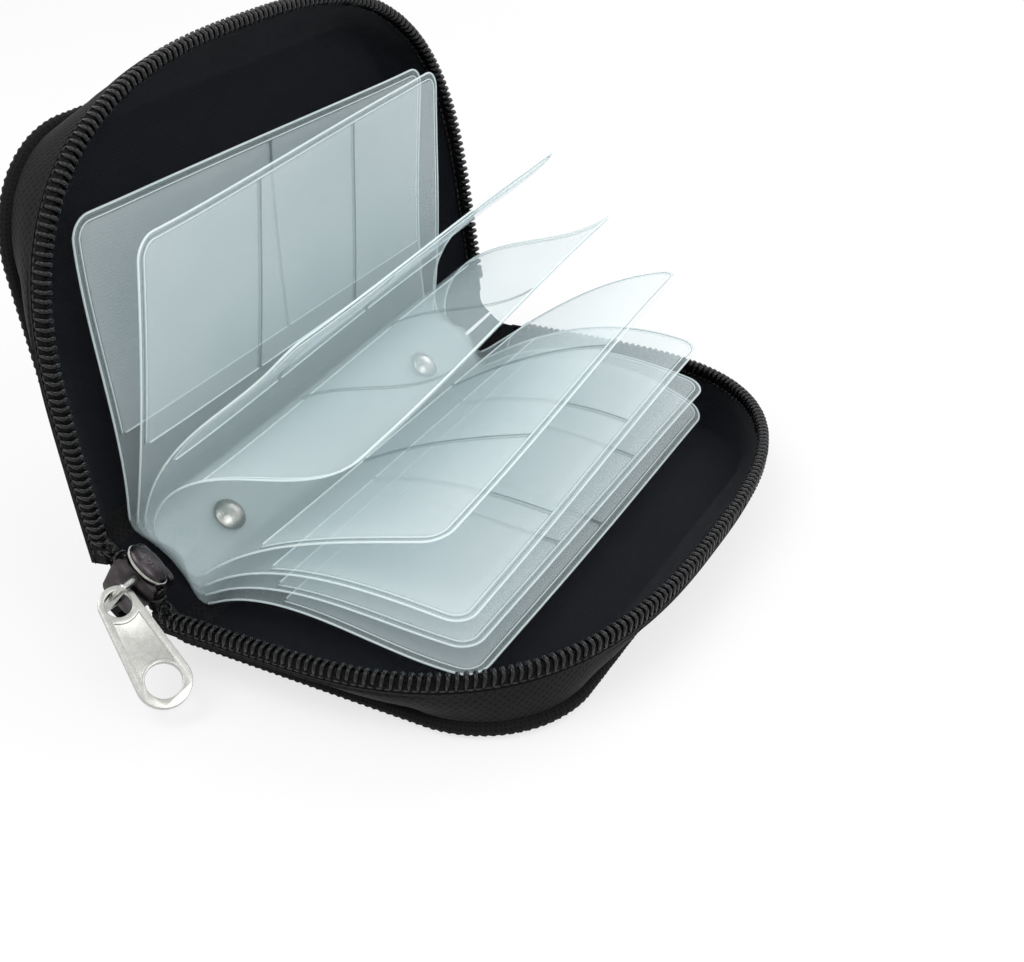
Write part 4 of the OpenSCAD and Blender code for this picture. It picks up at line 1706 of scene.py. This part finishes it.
    def welds(self, name: str, leaf: int, at: Callable[[float, float, float], Vector]) -> bpy.types.Object:
        """Makes the leaf's rounded edge, the ridges beside its welds and the lip of its pockets' mouth in
        the pale edge finish as a painted highlight, and dark lines beside its welds and at its pockets'
        dividers as painted shade.

        Args:
            name: Name of the piece.
            leaf: Number of the leaf.
            at: The leaf's surface.

        Returns:
            The new piece.
        """
        mouth, end = self.page_w - self.pocket_d - self.weld_w, self.page_w - self.weld_w
        edge, crease = self.finishes.edge, self.finishes.crease
        top = self.film_t / 2 + 0.05
        # The rim, the ridge and the lips are raised cords in the pale edge finish, which paints a highlight
        # along them.
        parts = [self.cord(f"{name}_rim", self.border(2.0, 0.1), at, 0.0, 0.2, edge)]
        parts.append(self.cord(f"{name}_ridge", self.border(mouth, self.weld_w * 0.8), at, top, 0.12, edge))
        # A dark cord beside the weld: painted shade where the weld's groove lies.
        weld_shade_line = self.border(mouth, self.weld_w * 0.45)
        parts.append(self.cord(f"{name}_groove", weld_shade_line, at, top, 0.09, crease))
        sides = self.pocket_edges(leaf)
        for k, (low, high) in enumerate(sides):
            lip = [(mouth, y) for y in spread(low + 0.2, high - 0.2, 24)]
            parts.append(self.cord(f"{name}_lip_{k}", lip, at, top + self.pocket_lift, 0.15, edge))
            # Dark cords at each side of a divider between pockets: painted shade of the divider's grooves.
            for y in ([low] if k else []) + ([high] if k < len(sides) - 1 else []):
                seam = [(out, y) for out in spread(mouth, end, 22)]
                parts.append(self.cord(f"{name}_seam_{k}_{y:.0f}", seam, at, top, 0.12, crease))
        return join_pieces(name, parts)

    def border(self, start: float, inset: float) -> list[tuple[float, float]]:
        """Line round a leaf's three free sides.

        Args:
            start: Where it starts and ends, from the hinge line.
            inset: How far inside the leaf's outline it lies.

        Returns:
            Places as distance from the hinge line and place along the spine.
        """
        bend, end = self.page_w - self.page_r, self.page_w - inset
        outs = spread(start, bend, 24)
        outs += [bend + (end - bend) * math.sin(t) for t in spread(0, math.pi / 2, 8)[1:]]
        side = [(out, -self.leaf_width(out, inset)) for out in outs]
        return side + [(end, y) for y in spread(side[-1][1], -side[-1][1], 40)[1:-1]] + [
            (out, -y) for out, y in reversed(side)]

    def leaf(self, leaf: int) -> None:
        """Builds one leaf with its half of the fold: its film, its pockets and its welds.

        Args:
            leaf: Number of the leaf.
        """
        at = self.surface(leaf)
        sheet = self.sheet_of(leaf)
        page = self.film(f"leaf_{leaf}_film", leaf, at)
        pocket = self.pockets(f"leaf_{leaf}_pockets", leaf, at)
        beads = self.welds(f"leaf_{leaf}_welds", leaf, at)
        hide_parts(f"page_{leaf}_film", *([f"sheet_fold_{sheet}"] if leaf == sheet else []))
        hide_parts(f"page_{leaf}_pockets")
        start, end = at(-1.5, 0, 0), at(self.root_turn + 2, 0, 0)
        for piece in (page, pocket, beads):
            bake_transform(piece)
            report(piece)

    def build(self) -> None:
        """Builds the eight leaves and finishes the rivets."""
        for leaf in range(1, 2 * self.sheet_count + 1):
            self.leaf(leaf)
        caps = softened("rivet_caps", 0.4, self.finishes.nickel)
        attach(caps, "spine")
        report(caps)
        for node in ("rivet_shanks", "rivet_washers"):
            dress(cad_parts[node], self.finishes.nickel)


@dataclass
class ZipSlider:
    """The slider with its two plates, its bridge and the pull tab."""

    shape: CaseShape
    finishes: Finishes
    slider_y: float = -62.907
    middle: float = 11.4
    height: float = 15.1
    half_long: float = 4.0
    half_broad: float = 2.7
    tilt: float = 17.0

    def at(self, a: float, across: float, up: float) -> Vector:
        """Place on the slider's oval cap.

        Args:
            a: Distance from the cap's middle across the spine.
            across: Distance along the spine, away from the case's end.
            up: Height above the cap's foot.

        Returns:
            The place in the frame.
        """
        turn = math.radians(self.tilt)
        y = across * math.cos(turn) + up * math.sin(turn)
        b = up * math.cos(turn) - across * math.sin(turn)
        return self.shape.spine(self.middle + a, self.slider_y + y, self.height + b)

    def oval(self, name: str, sizes: Sequence[tuple[float, float]],
             finish: bpy.types.Material) -> bpy.types.Object:
        """Makes an oval plate from rings.

        Args:
            name: Name of the piece.
            sizes: Share of the full size and height of each ring, from the foot up.
            finish: Material of the piece.

        Returns:
            The new piece.
        """
        angles = [2 * math.pi * k / 40 for k in range(40)]
        rings = []
        for size, up in sizes:
            long, broad = self.half_long * size, self.half_broad * size
            rings.append([self.at(long * math.cos(t), broad * math.sin(t), up) for t in angles])
        return swept_ring(name, rings, finish, 40)

    def tail(self, half: Half) -> None:
        """Makes the last teeth of a row and their tape, which turn from the half into the slider's mouth.

        Args:
            half: The half whose row it is.
        """
        side = ZipSide(self.shape, half, self.finishes)
        sign = -1.0 if half is Half.BACK else 1.0
        drop_by = side.gap + side.wire
        near = self.shape.rim(half, side.lead_in - side.pitch, 0.7, drop_by=drop_by)[0]
        places = [near]
        for a, b in ((5.2, 12.1), (3.4, 13.5), (2.3, 13.9), (1.5, 13.2)):
            places.append(self.shape.spine(11.0 + sign * a, self.slider_y, b))
        path = resample(places, 0.7)
        up = self.shape.half_up(half)
        tooth = side.tooth()
        name = f"{half.word}_coil_end"
        teeth = PathRepeat(side.pitch, up, 0.05).build(name, path, tooth, self.finishes.coil)
        drop(tooth)
        grid = [[p - up * low for p in path] for low in spread(side.shape.tape_w - 1.4, 0.3, 5)]
        band = thick_sheet(f"{half.word}_tape_end", grid, 0.35, 0.35, self.finishes.tape, 60)
        for piece in (teeth, band):
            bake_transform(piece)
            report(piece)

    def build(self) -> None:
        """Builds the slider, the bridge, the pull tab and the rows' ends."""
        body = softened("slider_body", 0.35, self.finishes.gunmetal)
        cap = self.oval("slider_cap", ((0.7, 0.1), (0.93, 0.1), (0.98, 0.25), (0.96, 0.5), (0.86, 0.85),
                                       (0.66, 1.12), (0.4, 1.28), (0.15, 1.33)), self.finishes.gunmetal)
        rim_sizes = ((0.9, -0.45), (0.99, -0.4), (1.03, -0.15), (1.02, 0.08), (0.95, 0.16))
        rim = self.oval("slider_cap_rim", rim_sizes, self.finishes.nickel)
        for piece in (body, cap, rim):
            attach(piece, "slider")
            report(piece)
        bridge = softened("slider_bridge", 0.3, self.finishes.nickel)
        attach(bridge, "slider")
        report(bridge)
        tab = softened("pull_tab", 0.26, self.finishes.nickel)
        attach(tab, "pull")
        report(tab)
        for half in Half:
            self.tail(half)


@dataclass
class Studio:
    """Plain pale floor, soft light and the camera at the photograph's viewing angle."""

    eye: tuple[float, float, float] = (113.969, -216.064, 157.003)
    azimuth: float = 27.87
    elevation: float = 30.66
    lens: float = 53.84
    ambient: float = 0.62

    def camera(self) -> None:
        """Makes the camera."""
        data = bpy.data.cameras.new("camera")
        data.lens = self.lens
        data.sensor_width = 36
        data.clip_start = 0.01
        camera = bpy.data.objects.new("camera", data)
        az, el = math.radians(self.azimuth), math.radians(self.elevation)
        back = Vector((math.sin(az) * math.cos(el), -math.cos(az) * math.cos(el), math.sin(el)))
        right = Vector((0, 0, 1)).cross(back).normalized()
        up = back.cross(right)
        turn = Matrix((right, up, back)).transposed().to_4x4()
        camera.matrix_world = Matrix.Translation(Vector(self.eye) * MM) @ turn
        bpy.context.scene.collection.objects.link(camera)
        bpy.context.scene.camera = camera

    def seen_share(self, nodes: bpy.types.Nodes, links: bpy.types.NodeLinks) -> bpy.types.NodeSocket:
        """Adds nodes that tell camera, glossy and transmission rays from the light's own.

        Args:
            nodes: The tree's nodes.
            links: The tree's links.

        Returns:
            A socket that is 1 for those rays and 0 for the rest.
        """
        path = nodes.new("ShaderNodeLightPath")
        total = path.outputs["Is Camera Ray"]
        for other in ("Is Glossy Ray", "Is Transmission Ray"):
            highest = nodes.new("ShaderNodeMath")
            highest.operation = "MAXIMUM"
            links.new(total, highest.inputs[0])
            links.new(path.outputs[other], highest.inputs[1])
            total = highest.outputs[0]
        return total

    def world(self) -> None:
        """Makes the world: an even soft light, seen as white."""
        world = bpy.data.worlds.new("studio_world")
        bpy.context.scene.world = world
        world.use_nodes = True
        nodes, links = world.node_tree.nodes, world.node_tree.links
        background = nodes["Background"]
        background.inputs["Color"].default_value = (1, 1, 1, 1)
        level = nodes.new("ShaderNodeMapRange")
        level.inputs["To Min"].default_value = self.ambient
        level.inputs["To Max"].default_value = 1.0
        links.new(self.seen_share(nodes, links), level.inputs["Value"])
        links.new(level.outputs["Result"], background.inputs["Strength"])

    def floor(self) -> None:
        """Makes the floor: white, with the case's soft shadow on it."""
        mesh = bpy.data.meshes.new("floor")
        size = 3.0
        corners = [(-size, -size, 0), (size, -size, 0), (size, size, 0), (-size, size, 0)]
        mesh.from_pydata(corners, [], [(0, 1, 2, 3)])
        floor = bpy.data.objects.new("floor", mesh)
        floor.location.z = -0.0002
        bpy.context.scene.collection.objects.link(floor)
        material = bpy.data.materials.new("pale_floor")
        material.use_nodes = True
        nodes, links = material.node_tree.nodes, material.node_tree.links
        shader = nodes["Principled BSDF"]
        shader.inputs["Base Color"].default_value = (0.93, 0.93, 0.93, 1)
        shader.inputs["Roughness"].default_value = 0.9
        shader.inputs["Specular IOR Level"].default_value = 0.1
        glow = nodes.new("ShaderNodeEmission")
        mix = nodes.new("ShaderNodeMixShader")
        part = nodes.new("ShaderNodeMath")
        part.operation = "MULTIPLY"
        part.inputs[1].default_value = 0.72
        links.new(self.seen_share(nodes, links), part.inputs[0])
        links.new(part.outputs[0], mix.inputs["Fac"])
        links.new(shader.outputs["BSDF"], mix.inputs[1])
        links.new(glow.outputs["Emission"], mix.inputs[2])
        links.new(mix.outputs["Shader"], nodes["Material Output"].inputs["Surface"])
        mesh.materials.append(material)

    def lamp(self, name: str, place: tuple[float, float, float], size: float, watts: float) -> None:
        """Makes a soft square lamp that faces the case.

        Args:
            name: Name of the lamp.
            place: Its place in metres.
            size: Its side in metres.
            watts: Its power.
        """
        data = bpy.data.lights.new(name, "AREA")
        data.size = size
        data.energy = watts
        lamp = bpy.data.objects.new(name, data)
        lamp.location = place
        lamp.rotation_euler = (Vector(place) - Vector((0, 0, 0.03))).to_track_quat("Z", "Y").to_euler()
        bpy.context.scene.collection.objects.link(lamp)

    def build(self) -> None:
        """Builds the studio."""
        self.camera()
        self.world()
        self.floor()
        self.lamp("key", (-0.2, -0.45, 0.8), 0.6, 3.4)
        self.lamp("fill", (0.6, -0.2, 0.5), 0.5, 1.6)
        self.lamp("rim", (0.1, 0.6, 0.45), 0.4, 1.2)
        scene = bpy.context.scene
        scene.view_settings.view_transform = "Standard"
        scene.cycles.transparent_max_bounces = 24


def main() -> None:
    """Builds the whole case in order."""
    logging.basicConfig(level=logging.INFO, format="%(message)s")
    shape = CaseShape()
    finishes = Finishes()
    Studio().build()
    for half, crown in ((Half.BACK, 0.0), (Half.FRONT, 0.8)):
        PaddedHalf(shape, half, finishes, crown=crown).build()
        ZipSide(shape, half, finishes).build()
    Spine(shape, finishes).build()
    Booklet(shape, finishes).build()
    ZipSlider(shape, finishes).build()


if __name__ == "__main__":
    main()
